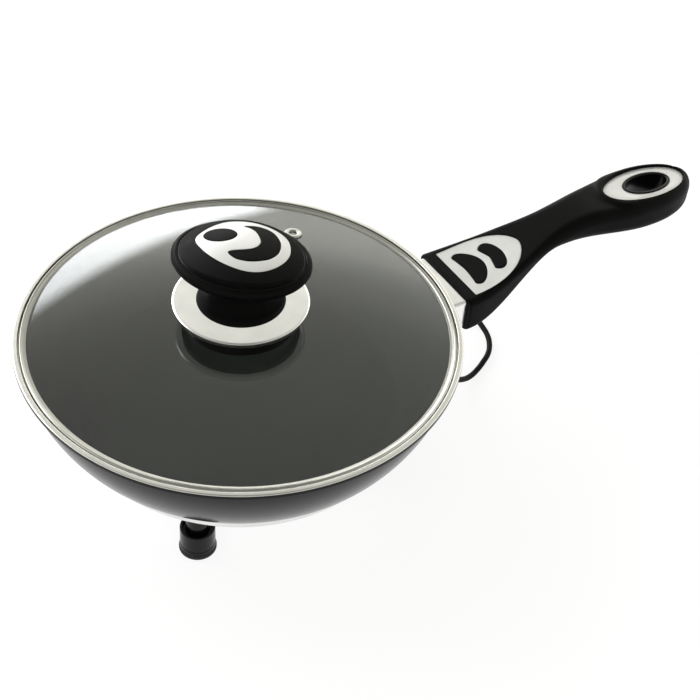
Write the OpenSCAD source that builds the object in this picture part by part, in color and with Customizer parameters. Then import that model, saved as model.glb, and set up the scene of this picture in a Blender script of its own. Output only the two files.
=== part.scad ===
// Electric skillet: a round pan on four feet, one long handle, a lift-off glass lid and a fixed mains cord.
// The table is z = 0 and the handle points along +X. Lengths are millimetres, angles degrees.

/* [Pan] */
// Diameter over the lip
rim_d = 246; // [230:1:280]
// Width of the lip's bare flat top
lip_w = 2.8; // [2:0.1:4]
// Height of the lip's outer edge
lip_h = 3; // [2:0.1:5]
// How far the lip stands out from the wall below it
lip_over = 2; // [1:0.1:3]
// Width of the ledge that carries the lid
ledge_w = 3.4; // [3:0.1:5]
// Depth of that ledge below the lip
ledge_h = 3; // [2:0.1:4]
// Depth outside, from the lip to the underside
pan_depth = 52; // [46:1:64]
// Diameter of the flat underside
base_d = 186; // [176:1:196]
// Wall thickness where the side meets the floor
wall_t = 4; // [3:0.1:6]
// Thickness of the cooking floor
floor_t = 6; // [5:0.1:9]
// Power that sets how steeply the side rises
side_power = 1.56; // [1.4:0.01:2]
// Power that sets how full the side is
side_fullness = 0.72; // [0.6:0.01:0.9]

/* [Base cover] */
// Diameter of the metal cover under the pan
cover_d = 190; // [188:1:194]
// Height of the room between the cover and the pan's underside
cover_room = 4.2; // [3.8:0.1:6]
// Thickness of the cover
cover_t = 0.8; // [0.6:0.1:1.2]
// How far the cover's wall laps up the side of the pan
cover_lap = 0.3; // [0.1:0.1:0.4]
// Circle of the screws that hold the cover
cover_screw_circle = 80; // [70:1:90]
// Radius of those screws
cover_screw_r = 1.5; // [1.2:0.1:2]

/* [Feet] */
// Height of a foot with its pad
foot_h = 31; // [26:1:40]
// Distance of a foot's axis from the edge of the cover
foot_inset = 11; // [10:0.5:14]
// Angle of the feet from the line of the handle
foot_turn = 47; // [42:1:55]
// Gap between the terminal housing and the feet beside it
foot_gap = 1; // [0.5:0.1:2]
// Radius of a foot at its pad
foot_r = 9.8; // [8.6:0.1:10]
// Radius of a foot at its shoulder
foot_top_r = 9.6; // [8:0.1:10]
// Height of the shoulder above the table
shoulder_h = 17; // [14:0.5:18]
// Radius of the neck above the shoulder
foot_neck_r = 6.5; // [5.5:0.1:7.5]
// Thickness of the rubber pad
pad_t = 3; // [2:0.1:4]
// Radius of the rubber pad
pad_r = 10.3; // [9:0.1:10.5]
// Radius of the screw well in the foot and pad
well_r = 4.2; // [4:0.1:5]
// Radius of the foot's screw
foot_screw_r = 2; // [1.5:0.1:2.5]
// Thickness of a screw's head
screw_head_t = 2.6; // [2:0.1:3]

/* [Lid] */
// Gap between the lid and the lip, all round
lid_gap = 0.5; // [0.3:0.1:0.8]
// Gap between the lid and its ledge
seat_gap = 0.2; // [0.1:0.05:0.3]
// Thickness of the glass
glass_t = 4; // [3:0.1:5]
// Height of the glass at its middle above the lip
glass_rise = 8; // [6:0.5:16]
// Width of the steel band round the glass
band_w = 2.4; // [2:0.1:4]
// Thickness of the band's sheet
band_t = 0.6; // [0.4:0.1:0.8]
// Distance of the steam vent from the middle
vent_at = 88; // [70:1:98]
// Direction of the steam vent
vent_turn = 42; // [0:1:360]
// Radius of the vent's flange
vent_r = 5.5; // [5:0.1:7]
// Radius of the vent's hole
vent_hole_r = 1.8; // [1.2:0.1:2]

/* [Knob] */
// Direction of the knob's long axis
knob_turn = -47; // [-180:1:180]
// Radius of the seat that stands on the glass
seat_r = 31; // [28:0.5:34]
// Height from the glass to the bright disc
seat_h = 9.8; // [8:0.1:12]
// Height of the seat's wider top that shows below the disc
seat_lip = 2; // [1:0.1:3]
// Radius of the bright disc's top
disc_r = 37.3; // [36.5:0.1:40]
// Radius of the bright disc's lower edge
disc_low_r = 36.6; // [35.8:0.1:37]
// Height of the bright disc
disc_h = 3.4; // [3:0.1:5]
// Thickness of the bright disc's sheet
disc_t = 1; // [0.8:0.1:1.4]
// Radius of the neck's foot
neck_r = 23.3; // [21:0.1:26]
// Radius of the neck under the grip
neck_top_r = 20.5; // [18:0.1:22]
// Height of the neck
neck_h = 22; // [19:0.5:28]
// Half length of the oval grip
grip_a = 38; // [35:0.5:44]
// Half width of the oval grip
grip_b = 31; // [29:0.5:36]
// Height of the grip's lower part
grip_h = 8.1; // [6:0.1:11]
// Rise of the domed cap over the lower part
cap_rise = 5.8; // [5.2:0.1:8]
// Radius of the dome
dome_r = 110; // [105:1:160]
// Distance of the groove round the cap from the grip's outline
groove_in = 3.4; // [3:0.1:4]
// Radius of the knob's screw
knob_screw_r = 2; // [1.5:0.1:2.5]

/* [Handle] */
// Length of the bright ferrule, from the lip to the handle
ferrule_len = 15; // [11:0.5:22]
// Width of the ferrule
ferrule_w = 48; // [44:1:50]
// Thickness of the ferrule's sheet
ferrule_t = 1.2; // [0.8:0.1:2]
// Gap by which the ferrule lies inside the handle's end outline
ferrule_in = 1.5; // [1:0.1:3]
// Length of the handle
handle_len = 185; // [176:1:200]
// Drop of the handle's root below the lip
handle_drop = 14; // [11:0.5:18]
// Rise of the top from the root to the end
handle_rise = 24.5; // [20:0.5:30]
// Width at the root
root_w = 54; // [50:1:58]
// Depth at the root
root_depth = 23; // [21:0.5:28]
// Width at the waist
waist_w = 30; // [26:1:34]
// Depth at the waist
waist_depth = 17.5; // [15:0.5:22]
// Distance of the waist from the root
waist_at = 84; // [80:1:95]
// Width at the end
end_w = 42; // [40:1:48]
// Depth at the end
end_depth = 22; // [19:0.5:26]
// Step up to the oval end
end_step = 1.6; // [1:0.1:2.5]
// Length of the rounded tip
tip_len = 40; // [30:1:42]
// Corner radius of the handle's section
handle_corner = 7; // [4:0.5:8]
// Corner radius of the section at the root
root_corner = 4; // [3:0.5:5]
// Radius of the steel rod inside the handle
rod_r = 3.5; // [3:0.1:4]
// Length of the rod inside the handle
rod_len = 26; // [22:1:28]
// Height of the rod above the middle of the ferrule
rod_up = 3; // [2:0.1:3.4]
// Distance of the cross screw from the handle's root
lock_at = 15; // [12:1:17]
// Radius of the cross screw
lock_r = 2; // [1.5:0.1:2.5]

/* [Inlays] */
// Thickness of the inlay plates
inlay_t = 1.2; // [0.8:0.1:1.6]
// How far the plates stand proud
inlay_proud = 0.2; // [0.1:0.05:0.4]
// Gap of a plate in its pocket
inlay_gap = 0.1; // [0.05:0.05:0.2]
// Distance of the front plate from the handle's root
front_at = 7; // [6:0.5:12]
// Length of the front plate
front_len = 45; // [38:1:50]
// Half width of the front plate
front_half = 22; // [18:0.5:22]
// Depth of the front plate below the handle's top
front_sink = 0.9; // [0.6:0.1:1.2]
// Distance of the oval plate's middle from the handle's tip
rear_at = 36.5; // [36:0.5:42]
// Half length of the oval plate
rear_a = 30.5; // [28:0.5:33]
// Half width of the oval plate
rear_b = 15; // [13:0.5:16]
// Depth of the oval plate below its raised rim
rear_sink = 2.3; // [1.8:0.1:2.6]
// Half length of the hanging hole's sleeve
sleeve_a = 18; // [16:0.1:20]
// Half width of the hanging hole's sleeve
sleeve_b = 10; // [9:0.1:11]
// Wall of the sleeve
sleeve_t = 2.3; // [2:0.1:3.5]
// Distance of the hole's middle from the oval plate's middle
hole_shift = 2.3; // [0:0.1:4]

/* [Heating] */
// Radius of the heating tube's ring
element_ring_r = 62; // [58:1:70]
// Radius of the heating tube
element_r = 3.2; // [2.8:0.1:3.4]
// Half of the ring's open angle at the terminals
element_open = 12; // [10:1:16]
// Radius of the terminal pins
pin_r = 2; // [1.5:0.1:2.4]
// How far the pins reach below the cover
pin_drop = 12; // [10:0.5:13]
// Radius of the thermostat
thermostat_r = 8; // [6:0.5:9]
// Distance of the thermostat from the pan's axis
thermostat_at = 45; // [43:0.5:46]
// How far the thermostat reaches below the cover
thermostat_drop = 9; // [7:0.5:10]

/* [Terminal housing] */
// Depth of the housing below the cover
housing_h = 18; // [17:0.5:20]
// Length of the housing along the handle's line
housing_len = 50; // [50:1:54]
// Width of the housing
housing_w = 80; // [78:1:84]
// Wall of the housing
housing_t = 1.6; // [1.2:0.1:2]
// Distance of its front wall from the edge of the cover
housing_inset = 11; // [11:0.5:13]
// Radius of the housing's screws
housing_screw_r = 1.5; // [1.2:0.1:1.8]

/* [Cord] */
// Diameter of the cord
cord_d = 3.6; // [3.4:0.1:5.2]
// Sideways place of the cord's outlet
outlet_y = -27; // [-27.5:0.5:-26]
// Height of the cord's outlet above the table
outlet_z = 22; // [21.5:0.5:22.5]
// Length of the tapered strain relief
relief_len = 28; // [20:1:40]
// Gap between neighbouring turns of the coil
coil_gap = 0.5; // [0.45:0.05:0.8]
// Thickness of the tie's strap
tie_t = 1; // [0.8:0.1:1.2]
// Width of the tie's strap
tie_w = 6; // [4:0.5:8]
// Length of the plug's strain relief
plug_relief_len = 22; // [20:1:40]
// Length of the plug's body
plug_len = 30; // [26:1:36]
// Width of the plug's body
plug_w = 26; // [22:1:30]

/* [Hidden] */
$fn = 64;
fit = 0.05;
clear = 0.3;

// Heights and radii that follow from the sizes above
rim_r = rim_d / 2;
base_r = base_d / 2;
cover_r = cover_d / 2;
base_z = foot_h + cover_t + cover_room;
rim_z = base_z + pan_depth;
ledge_z = rim_z - ledge_h;
ledge_r = rim_r - lip_w - ledge_w;
handle_x = rim_r + ferrule_len;
tip_x = handle_x + handle_len;

// The origin is under the middle of pan and handle together
pan_x = (rim_r - tip_x) / 2;

// Shared shapes

module at_pan() {
    translate([pan_x, 0, 0]) children();
}

// Smooth step from 0 at a to 1 at b
function ease(x, a, b) = let (s = min(1, max(0, (x - a) / (b - a)))) s * s * (3 - 2 * s);

function oval(a, b, n = 48) = [for (i = [0:n - 1]) [a * cos(360 * i / n), b * sin(360 * i / n)]];

// Point at share s of the smooth closed curve between points i and i + 1
function curve_point(p, i, s) =
    let (n = len(p), a = p[(i + n - 1) % n], b = p[i], c = p[(i + 1) % n], d = p[(i + 2) % n])
    b + (c - a) * s / 2 + (2 * a - 5 * b + 4 * c - d) * s * s / 2 + (3 * b - a - 3 * c + d) * s * s * s / 2;

function closed_curve(p, steps = 5) =
    [for (i = [0:len(p) - 1], j = [0:steps - 1]) curve_point(p, i, j / steps)];

// Rectangle of half sides w and h with round corners, counter-clockwise
function round_rect(w, h, r, steps = 4) =
    [for (q = [0:3], k = [0:steps])
        let (
            sx = q == 0 || q == 3 ? 1 : -1,
            sy = q < 2 ? 1 : -1,
            a = 90 * q + 90 * k / steps
        )
        [sx * (w - r) + r * cos(a), sy * (h - r) + r * sin(a)]];

// Solid through a row of rings that have equal counts of points
module loft(rings) {
    n = len(rings[0]);
    m = len(rings);
    points = [for (ring = rings) each ring];
    sides = [for (i = [0:m - 2], j = [0:n - 1])
        let (k = (j + 1) % n)
        each [[i * n + j, (i + 1) * n + j, (i + 1) * n + k], [i * n + j, (i + 1) * n + k, i * n + k]]];
    first = [for (j = [0:n - 1]) j];
    last = [for (j = [0:n - 1]) m * n - 1 - j];
    polyhedron(points, concat([first], sides, [last]), convexity = 6);
}

// Round wire along straight runs with ball corners
module wire(points, r) {
    for (i = [0:len(points) - 2]) {
        run = points[i + 1] - points[i];
        level = norm([run[0], run[1]]);
        translate(points[i])
            rotate([0, atan2(level, run[2]), atan2(run[1], run[0])])
                cylinder(r = r, h = norm(run), $fn = 24);
    }
    for (i = [1:len(points) - 2]) {
        translate(points[i]) sphere(r = r, $fn = 24);
    }
}

// Round bar along +X
module bar(r, len) {
    rotate([0, 90, 0]) cylinder(r = r, h = len);
}

// Prism along +X of an outline in Y and Z
module beam(outline, len) {
    rotate([90, 0, 90]) linear_extrude(len) polygon(outline);
}

// Pan

side_steps = 16;

function side_r(low_r, high_r, t) =
    low_r + (high_r - low_r) * pow(max(0, 1 - pow(t, side_power)), side_fullness);

// Side of the pan from its foot up: radius and height, at a share t of the depth
function side(low_r, high_r, low_z, depth, t_end) =
    [for (i = [0:side_steps])
        let (t = 1 - (1 - t_end) * pow(i / side_steps, 2))
        [side_r(low_r, high_r, t), low_z + depth * (1 - t)]];

outer_side = side(base_r, rim_r - lip_over, base_z, pan_depth, lip_h / pan_depth);
inner_low_z = base_z + floor_t;
inner_side = side(base_r - wall_t, ledge_r, inner_low_z, ledge_z - inner_low_z, 0);
lip_edge = 0.6;

// Everything inside the pan's outer face, grown by a gap
module pan_outside(gap) {
    rotate_extrude($fn = 128)
        polygon(concat(
            [[0, base_z - gap]],
            [for (p = outer_side) [p[0] + gap, p[1]]],
            [[rim_r + gap, rim_z - lip_h], [rim_r + gap, rim_z + gap], [0, rim_z + gap]]
        ));
}

boss_r = 4;
cover_screw_turns = [60, 180, 300];

module at_cover_screws() {
    for (a = cover_screw_turns) rotate([0, 0, a]) translate([cover_screw_circle / 2, 0, 0]) children();
}

module pan_body() {
    color([0.2, 0.2, 0.21]) at_pan() difference() {
        union() {
            rotate_extrude($fn = 128)
                polygon(concat(
                    [[0, base_z]],
                    outer_side,
                    [
                        [rim_r, rim_z - lip_h],
                        [rim_r, rim_z - lip_edge],
                        [rim_r - lip_edge, rim_z],
                        [rim_r - lip_w, rim_z],
                        [rim_r - lip_w, ledge_z]
                    ],
                    [for (i = [side_steps:-1:0]) inner_side[i]],
                    [[0, inner_low_z]]
                ));
            at_cover_screws()
                translate([0, 0, base_z - cover_room + fit]) cylinder(r = boss_r, h = cover_room);
        }
        element_ring(element_r + clear);
        at_cover_screws()
            translate([0, 0, base_z - cover_room - 1])
                cylinder(r = cover_screw_r + fit, h = cover_room + floor_t / 2);
    }
}

// Heating: the tube lies half sunk in a groove under the floor

element_z = base_z;
pin_low_z = foot_h - pin_drop;

module element_ring(r) {
    translate([0, 0, element_z]) rotate([0, 0, element_open])
        rotate_extrude(angle = 360 - 2 * element_open, $fn = 96)
            translate([element_ring_r, 0]) circle(r = r, $fn = 24);
}

function pin_place(side) = [element_ring_r * cos(element_open), side * element_ring_r * sin(element_open)];

module heating_element() {
    color("lightslategray") at_pan() {
        element_ring(element_r);
        for (side = [-1, 1]) {
            translate([pin_place(side)[0], pin_place(side)[1], pin_low_z])
                cylinder(r = pin_r, h = element_z - pin_low_z);
        }
    }
}

thermostat_low_z = foot_h - thermostat_drop;

module thermostat() {
    color("gainsboro") at_pan() translate([thermostat_at, 0, thermostat_low_z]) {
        cylinder(r = thermostat_r, h = base_z - thermostat_low_z - fit);
        translate([0, 0, -2]) cylinder(r = thermostat_r - 2, h = 2);
    }
}

// Base cover

pin_hole_r = pin_r + 1.5;

module base_cover() {
    top_z = base_z + cover_lap;
    round = 1.6;
    color("silver") at_pan() difference() {
        rotate_extrude($fn = 128)
            polygon([
                [0, foot_h], [cover_r - round, foot_h], [cover_r, foot_h + round], [cover_r, top_z],
                [cover_r - cover_t, top_z], [cover_r - cover_t, foot_h + round],
                [cover_r - round - cover_t / 2, foot_h + cover_t], [0, foot_h + cover_t]
            ]);
        for (side = [-1, 1]) {
            translate([pin_place(side)[0], pin_place(side)[1], foot_h - 1]) cylinder(r = pin_hole_r, h = 3);
        }
        translate([thermostat_at, 0, foot_h - 1]) cylinder(r = thermostat_r + clear, h = 3);
        at_cover_screws() translate([0, 0, foot_h - 1]) cylinder(r = cover_screw_r + fit, h = 3);
        at_feet() translate([0, 0, foot_h - 1]) cylinder(r = foot_screw_r + fit, h = 3);
        at_housing_screws() translate([0, 0, foot_h - 1]) cylinder(r = housing_screw_r + fit, h = 3);
    }
}

module cover_screws() {
    length = cover_room + cover_t + 1;
    color("darkgray") at_pan() at_cover_screws() {
        translate([0, 0, foot_h]) cylinder(r = cover_screw_r, h = length);
        translate([0, 0, foot_h - screw_head_t / 2]) cylinder(r = cover_screw_r * 2, h = screw_head_t / 2);
    }
}

// Feet

// The feet on the handle's side stand closer in, beside the housing and clear of the heating tube
rear_foot_r = cover_r - foot_inset;
front_foot_r = max(
    (housing_w / 2 + foot_gap + pad_r) / sin(foot_turn),
    element_ring_r + element_r + 2 * foot_screw_r + 2 * clear
);

// Direction and distance of the feet: front left, front right, rear left, rear right
foot_places = [
    [foot_turn, front_foot_r], [-foot_turn, front_foot_r],
    [180 - foot_turn, rear_foot_r], [foot_turn - 180, rear_foot_r]
];

module at_foot(place) {
    rotate([0, 0, place[0]]) translate([place[1], 0, 0]) children();
}

module at_feet() {
    for (place = foot_places) at_foot(place) children();
}

head_z = 0.65 * foot_h;
shoulder_round = 0.6;

module foot(place) {
    color([0.07, 0.07, 0.07]) at_pan() at_foot(place)
        rotate_extrude()
            polygon([
                [well_r, pad_t], [foot_r, pad_t], [foot_top_r, shoulder_h - shoulder_round],
                [foot_top_r - shoulder_round, shoulder_h], [foot_neck_r, shoulder_h], [foot_neck_r, foot_h],
                [foot_screw_r + fit, foot_h], [foot_screw_r + fit, head_z], [well_r, head_z]
            ]);
}

module pad(place) {
    edge = 0.5;
    color([0.12, 0.12, 0.12]) at_pan() at_foot(place)
        rotate_extrude()
            polygon([
                [well_r, 0], [pad_r - edge, 0], [pad_r, edge], [pad_r, pad_t - edge],
                [pad_r - edge, pad_t], [well_r, pad_t]
            ]);
}

module foot_front_left() { foot(foot_places[0]); }
module foot_front_right() { foot(foot_places[1]); }
module foot_rear_left() { foot(foot_places[2]); }
module foot_rear_right() { foot(foot_places[3]); }
module pad_front_left() { pad(foot_places[0]); }
module pad_front_right() { pad(foot_places[1]); }
module pad_rear_left() { pad(foot_places[2]); }
module pad_rear_right() { pad(foot_places[3]); }

nut_t = 3;
nut_z = foot_h + cover_t;

module foot_screws() {
    color("darkgray") at_pan() at_feet() {
        translate([0, 0, head_z]) cylinder(r = foot_screw_r, h = nut_z + nut_t + clear - head_z);
        translate([0, 0, head_z - screw_head_t]) cylinder(r = well_r - 2 * clear, h = screw_head_t);
    }
}

module foot_nuts() {
    color("darkgray") at_pan() at_feet() translate([0, 0, nut_z]) difference() {
        cylinder(r = 2 * foot_screw_r, h = nut_t, $fn = 6);
        translate([0, 0, -1]) cylinder(r = foot_screw_r + fit, h = nut_t + 2);
    }
}

// Terminal housing under the cover

housing_x1 = cover_r - housing_inset;
housing_x0 = housing_x1 - housing_len;
housing_z = foot_h - housing_h;
housing_floor_z = housing_z + housing_t;
housing_mid_x = (housing_x0 + housing_x1) / 2;
housing_round = 6;
post_r = 3.5;
post_inset = 8;

module at_housing_screws() {
    for (side = [-1, 1]) {
        translate([housing_x0 + post_inset, side * (housing_w / 2 - post_inset), 0]) children();
    }
}

module terminal_housing() {
    color([0.08, 0.08, 0.08]) at_pan() difference() {
        union() {
            difference() {
                translate([housing_mid_x, 0, housing_z])
                    linear_extrude(housing_h)
                        polygon(round_rect(housing_len / 2, housing_w / 2, housing_round));
                translate([housing_mid_x, 0, housing_floor_z])
                    linear_extrude(housing_h)
                        polygon(round_rect(
                            housing_len / 2 - housing_t,
                            housing_w / 2 - housing_t,
                            housing_round - housing_t
                        ));
            }
            at_housing_screws() translate([0, 0, housing_z + housing_t / 2])
                cylinder(r = post_r, h = housing_h - housing_t / 2);
        }
        translate([housing_x1 - housing_t - 1, outlet_y, outlet_z]) bar(relief_neck_r + fit, housing_t + 2);
        at_housing_screws()
            translate([0, 0, housing_z - 1]) cylinder(r = housing_screw_r + fit, h = housing_h + 2);
    }
}

module housing_screws() {
    color("darkgray") at_pan() at_housing_screws() {
        translate([0, 0, housing_z]) cylinder(r = housing_screw_r, h = housing_h + cover_t + 1);
        translate([0, 0, housing_z - screw_head_t / 2])
            cylinder(r = 2 * housing_screw_r, h = screw_head_t / 2);
    }
}

// Electrical parts inside the housing

block_len = 11;
block_w = 40;
block_h = 9;
block_x0 = housing_x1 - housing_t - 5 - block_len;
lead_r = 1.2;
lead_z = housing_floor_z + block_h / 2;

module terminal_block() {
    color("ivory") at_pan() translate([block_x0, -block_w / 2, housing_floor_z]) difference() {
        cube([block_len, block_w, block_h]);
        for (i = [0:3]) {
            translate([block_len / 2, block_w * (i + 0.5) / 4, block_h - 3]) cylinder(r = 2, h = 4);
        }
    }
}

module supply_leads() {
    inner_face = housing_x1 - housing_t - relief_flange_t;
    color("sienna") at_pan()
        for (i = [0, 1]) {
            start = [inner_face, outlet_y + (i == 0 ? 2 : -2), lead_z];
            corner = [block_x0 + block_len / 4 * (i == 0 ? 3 : 1), start[1], lead_z];
            wire([start, corner, [corner[0], -block_w / 2, lead_z]], lead_r);
        }
}

// The fuse lies on the housing's floor, in the lead between the left pin and the block
fuse_r = 2;
fuse_len = 14;
fuse_x1 = pin_place(1)[0] - pin_r - 0.6;
fuse_y = block_w / 2;
fuse_z = housing_floor_z + fuse_r + fit;
fuse_lead_out = 3;
fuse_lead_y = fuse_y + 5;

module thermal_fuse() {
    color("gold") at_pan() translate([fuse_x1 - fuse_len, fuse_y, fuse_z]) bar(fuse_r, fuse_len);
}

module element_leads() {
    pin = pin_place(-1);
    start_z = pin_low_z + lead_r;
    back_x = fuse_x1 - fuse_len - fuse_lead_out;
    block_x = block_x0 + block_len / 2;
    color("sienna") at_pan() {
        translate([pin[0] + pin_r, pin[1], start_z]) bar(lead_r, block_x0 - pin[0] - pin_r);
        wire([
            [pin[0], pin_r - pin[1], start_z], [pin[0], fuse_y, start_z],
            [pin[0], fuse_y, fuse_z], [fuse_x1, fuse_y, fuse_z]
        ], lead_r);
        wire([
            [fuse_x1 - fuse_len, fuse_y, fuse_z], [back_x, fuse_y, fuse_z], [back_x, fuse_lead_y, fuse_z],
            [block_x, fuse_lead_y, fuse_z], [block_x, block_w / 2, fuse_z]
        ], lead_r);
    }
}

// Handle

root_top_z = rim_z - handle_drop;
end_top_z = root_top_z + handle_rise;
root_flat = 3;
narrow_len = waist_at - 6;
rise_len = 106;
dip_len = 73;
end_from = waist_at + 58;
step_at = handle_len - rear_at - rear_a - 6;

function handle_half_w(u) =
    root_w / 2
    + (waist_w - root_w) / 2 * ease(u, root_flat, narrow_len)
    + (end_w - waist_w) / 2 * ease(u, waist_at, end_from);

function handle_top(u) =
    root_top_z + (handle_rise - end_step) * ease(u, 1, rise_len) + end_step * ease(u, step_at, step_at + 5);

function handle_depth(u) =
    let (
        waist_low = root_top_z + handle_rise - end_step - waist_depth,
        low = root_top_z - root_depth + (waist_low - root_top_z + root_depth) * ease(u, 1, dip_len),
        end_low = end_top_z - end_depth
    )
    handle_top(u) - (low + (end_low - waist_low) * ease(u, waist_at, end_from));

// Stations along the handle, then round the tip
tip_from = handle_len - tip_len;
stations = 27;
handle_us = concat(
    [for (i = [0:stations]) tip_from * i / stations],
    [for (a = [10:10:80]) tip_from + tip_len * sin(a)],
    [tip_from + tip_len * sin(87)]
);

function tip_share(u) = u <= tip_from ? 1 : sqrt(1 - pow((u - tip_from) / tip_len, 2));

// How far the top and bottom edges are rounded away at the very end
function end_round(u) =
    let (s = max(0, (u - handle_len + handle_corner) / handle_corner))
    handle_corner * (1 - sqrt(1 - s * s));

function handle_ring(u) =
    let (
        w = handle_half_w(u) * tip_share(u),
        depth = handle_depth(u),
        h = depth / 2 - end_round(u),
        mid = handle_top(u) - depth / 2,
        corner = root_corner + (handle_corner - root_corner) * ease(u, front_len, waist_at),
        r = min(corner, 0.9 * w, 0.9 * h)
    )
    [for (p = round_rect(w, h, r)) [handle_x + u, p[0], mid + p[1]]];

ferrule_z = root_top_z - root_depth / 2;
rod_z = ferrule_z + rod_up;
rod_end_x = handle_x + rod_len;
lock_x = handle_x + lock_at;
rear_x = tip_x - rear_at;
rear_z = end_top_z - rear_sink;
hole_x = rear_x + hole_shift;

// Outline of the front plate: straight at the root, round towards the grip
front_steps = 10;

function front_edge(grow, side) =
    [for (i = [0:front_steps])
        let (s = sin(90 * i / front_steps))
        [
            handle_x + front_at - grow + (front_len + 2 * grow) * s,
            side * (front_half + grow) * pow(1 - pow(s, 2.4), 0.6)
        ]];

module front_outline(grow) {
    left = front_edge(grow, 1);
    polygon(concat(front_edge(grow, -1), [for (i = [front_steps - 1:-1:0]) left[i]]));
}

// Slab that follows the handle's top, from a depth below it to a height above it
module top_slab(below, above) {
    us = [for (i = [0:12]) front_at - 2 + (front_len + 4) * i / 12];
    low = [for (u = us) [handle_x + u, handle_top(u) - below]];
    high = [for (u = us) [handle_x + u, handle_top(u) + above]];
    translate([0, root_w / 2, 0]) rotate([90, 0, 0])
        linear_extrude(root_w) polygon(concat(low, [for (i = [12:-1:0]) high[i]]));
}

module front_slab(grow, below, above) {
    intersection() {
        translate([0, 0, root_top_z - 20]) linear_extrude(80) front_outline(grow);
        top_slab(below, above);
    }
}

module handle_body() {
    color([0.09, 0.09, 0.09]) at_pan() difference() {
        loft([for (u = handle_us) handle_ring(u)]);
        front_slab(inlay_gap, front_sink + inlay_t - inlay_proud, 4);
        translate([rear_x, 0, rear_z - inlay_t + inlay_proud])
            linear_extrude(6) polygon(oval(rear_a + inlay_gap, rear_b + inlay_gap));
        translate([hole_x, 0, end_top_z - end_depth - 4])
            linear_extrude(end_depth + 8) polygon(oval(sleeve_a + fit, sleeve_b + fit));
        translate([handle_x - 1, 0, rod_z]) bar(rod_r + fit, rod_len + 1 + clear);
        translate([lock_x, 0, rod_z - root_depth]) cylinder(r = lock_r + fit, h = root_depth + rod_r + 2);
        translate([lock_x, 0, rod_z - root_depth])
            cylinder(r = 2 * lock_r + clear, h = root_depth - lock_seat);
    }
}

lock_seat = rod_r + 2;

module handle_screw() {
    color("darkgray") at_pan() translate([lock_x, 0, rod_z - lock_seat]) {
        cylinder(r = lock_r, h = lock_seat + rod_r + 1);
        translate([0, 0, -screw_head_t]) cylinder(r = 2 * lock_r, h = screw_head_t);
    }
}

bracket_w = 30;
bracket_h = 10;

module handle_bracket() {
    color("silver") at_pan() difference() {
        union() {
            translate([base_r, -bracket_w / 2, rod_z - bracket_h / 2])
                cube([handle_x - base_r - fit, bracket_w, bracket_h]);
            translate([base_r, 0, rod_z]) bar(rod_r, rod_end_x - base_r);
        }
        pan_outside(fit);
        translate([lock_x, 0, rod_z - root_depth / 2]) cylinder(r = lock_r + fit, h = root_depth);
    }
}

module ferrule() {
    half_h = root_depth / 2 - ferrule_in;
    round = 2.4;
    color("gainsboro") at_pan() difference() {
        translate([base_r, 0, ferrule_z]) beam(round_rect(ferrule_w / 2, half_h, round), handle_x - base_r);
        translate([base_r - 1, 0, ferrule_z])
            beam(
                round_rect(ferrule_w / 2 - ferrule_t, half_h - ferrule_t, round - ferrule_t),
                handle_x - base_r + 2
            );
        pan_outside(fit);
    }
}

// Inlays in the handle

module front_windows() {
    translate([handle_x + front_at, 0]) {
        polygon(closed_curve([
            [6.2, 13.5], [9.5, 15.2], [14, 12.8], [18.4, 6.8], [20, 0], [18.4, -6.8], [14, -12.8],
            [9.5, -15.2], [6.2, -13.5], [6.6, -9], [7.4, 0], [6.6, 9]
        ]));
        polygon(closed_curve([
            [22.6, 9.8], [25.9, 12.4], [29.6, 11], [32.2, 6.4], [33.3, 0], [32.2, -6.4], [29.6, -11],
            [25.9, -12.4], [22.6, -9.8], [23.4, -5.5], [24.6, 0], [23.4, 5.5]
        ]));
    }
}

module front_inlay() {
    color("gainsboro") at_pan() difference() {
        front_slab(0, front_sink + inlay_t - inlay_proud - fit, inlay_proud - front_sink);
        translate([0, 0, root_top_z - 20]) linear_extrude(80) front_windows();
    }
}

module rear_inlay() {
    color("gainsboro") at_pan() translate([0, 0, rear_z - inlay_t + inlay_proud + fit])
        linear_extrude(inlay_t - fit) difference() {
            translate([rear_x, 0]) polygon(oval(rear_a, rear_b));
            translate([hole_x, 0]) polygon(oval(sleeve_a + fit, sleeve_b + fit));
        }
}

module hanging_sleeve() {
    low_z = end_top_z - end_depth;
    color([0.05, 0.05, 0.05]) at_pan() translate([hole_x, 0, low_z])
        linear_extrude(rear_z - low_z + 2 * inlay_proud) difference() {
            polygon(oval(sleeve_a, sleeve_b));
            polygon(oval(sleeve_a - sleeve_t, sleeve_b - sleeve_t));
        }
}

// Lid

band_r = rim_r - lip_w - lid_gap;
band_low_z = ledge_z + seat_gap;
glass_low_z = band_low_z + band_t + fit;
glass_top_z = glass_low_z + glass_t;
band_top_z = glass_top_z + band_t + fit;
glass_r = band_r - band_t - fit;
dome_edge_r = band_r - band_w - clear;
apex_z = rim_z + glass_rise;
dome_rise = apex_z - glass_top_z;
glass_sphere_r = (dome_edge_r * dome_edge_r + dome_rise * dome_rise) / (2 * dome_rise);
glass_steps = 14;
knob_hole_r = knob_screw_r + 1;

function dome_z(r) = apex_z - glass_sphere_r + sqrt(glass_sphere_r * glass_sphere_r - r * r);

glass_rs = [for (i = [0:glass_steps]) knob_hole_r + (dome_edge_r - knob_hole_r) * i / glass_steps];

module at_vent() {
    rotate([0, 0, vent_turn]) translate([vent_at, 0, dome_z(vent_at)])
        rotate([0, asin(vent_at / glass_sphere_r), 0]) children();
}

vent_neck_r = vent_hole_r + 1.6;

module lid_glass() {
    color([0.75, 0.8, 0.8, 0.4]) at_pan() difference() {
        rotate_extrude($fn = 128)
            polygon(concat(
                [for (r = glass_rs) [r, dome_z(r) - glass_t]],
                [[glass_r, glass_low_z], [glass_r, glass_top_z]],
                [for (i = [glass_steps:-1:0]) [glass_rs[i], dome_z(glass_rs[i])]]
            ));
        at_vent() translate([0, 0, -2 * glass_t]) cylinder(r = vent_neck_r + fit, h = 4 * glass_t);
    }
}

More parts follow.
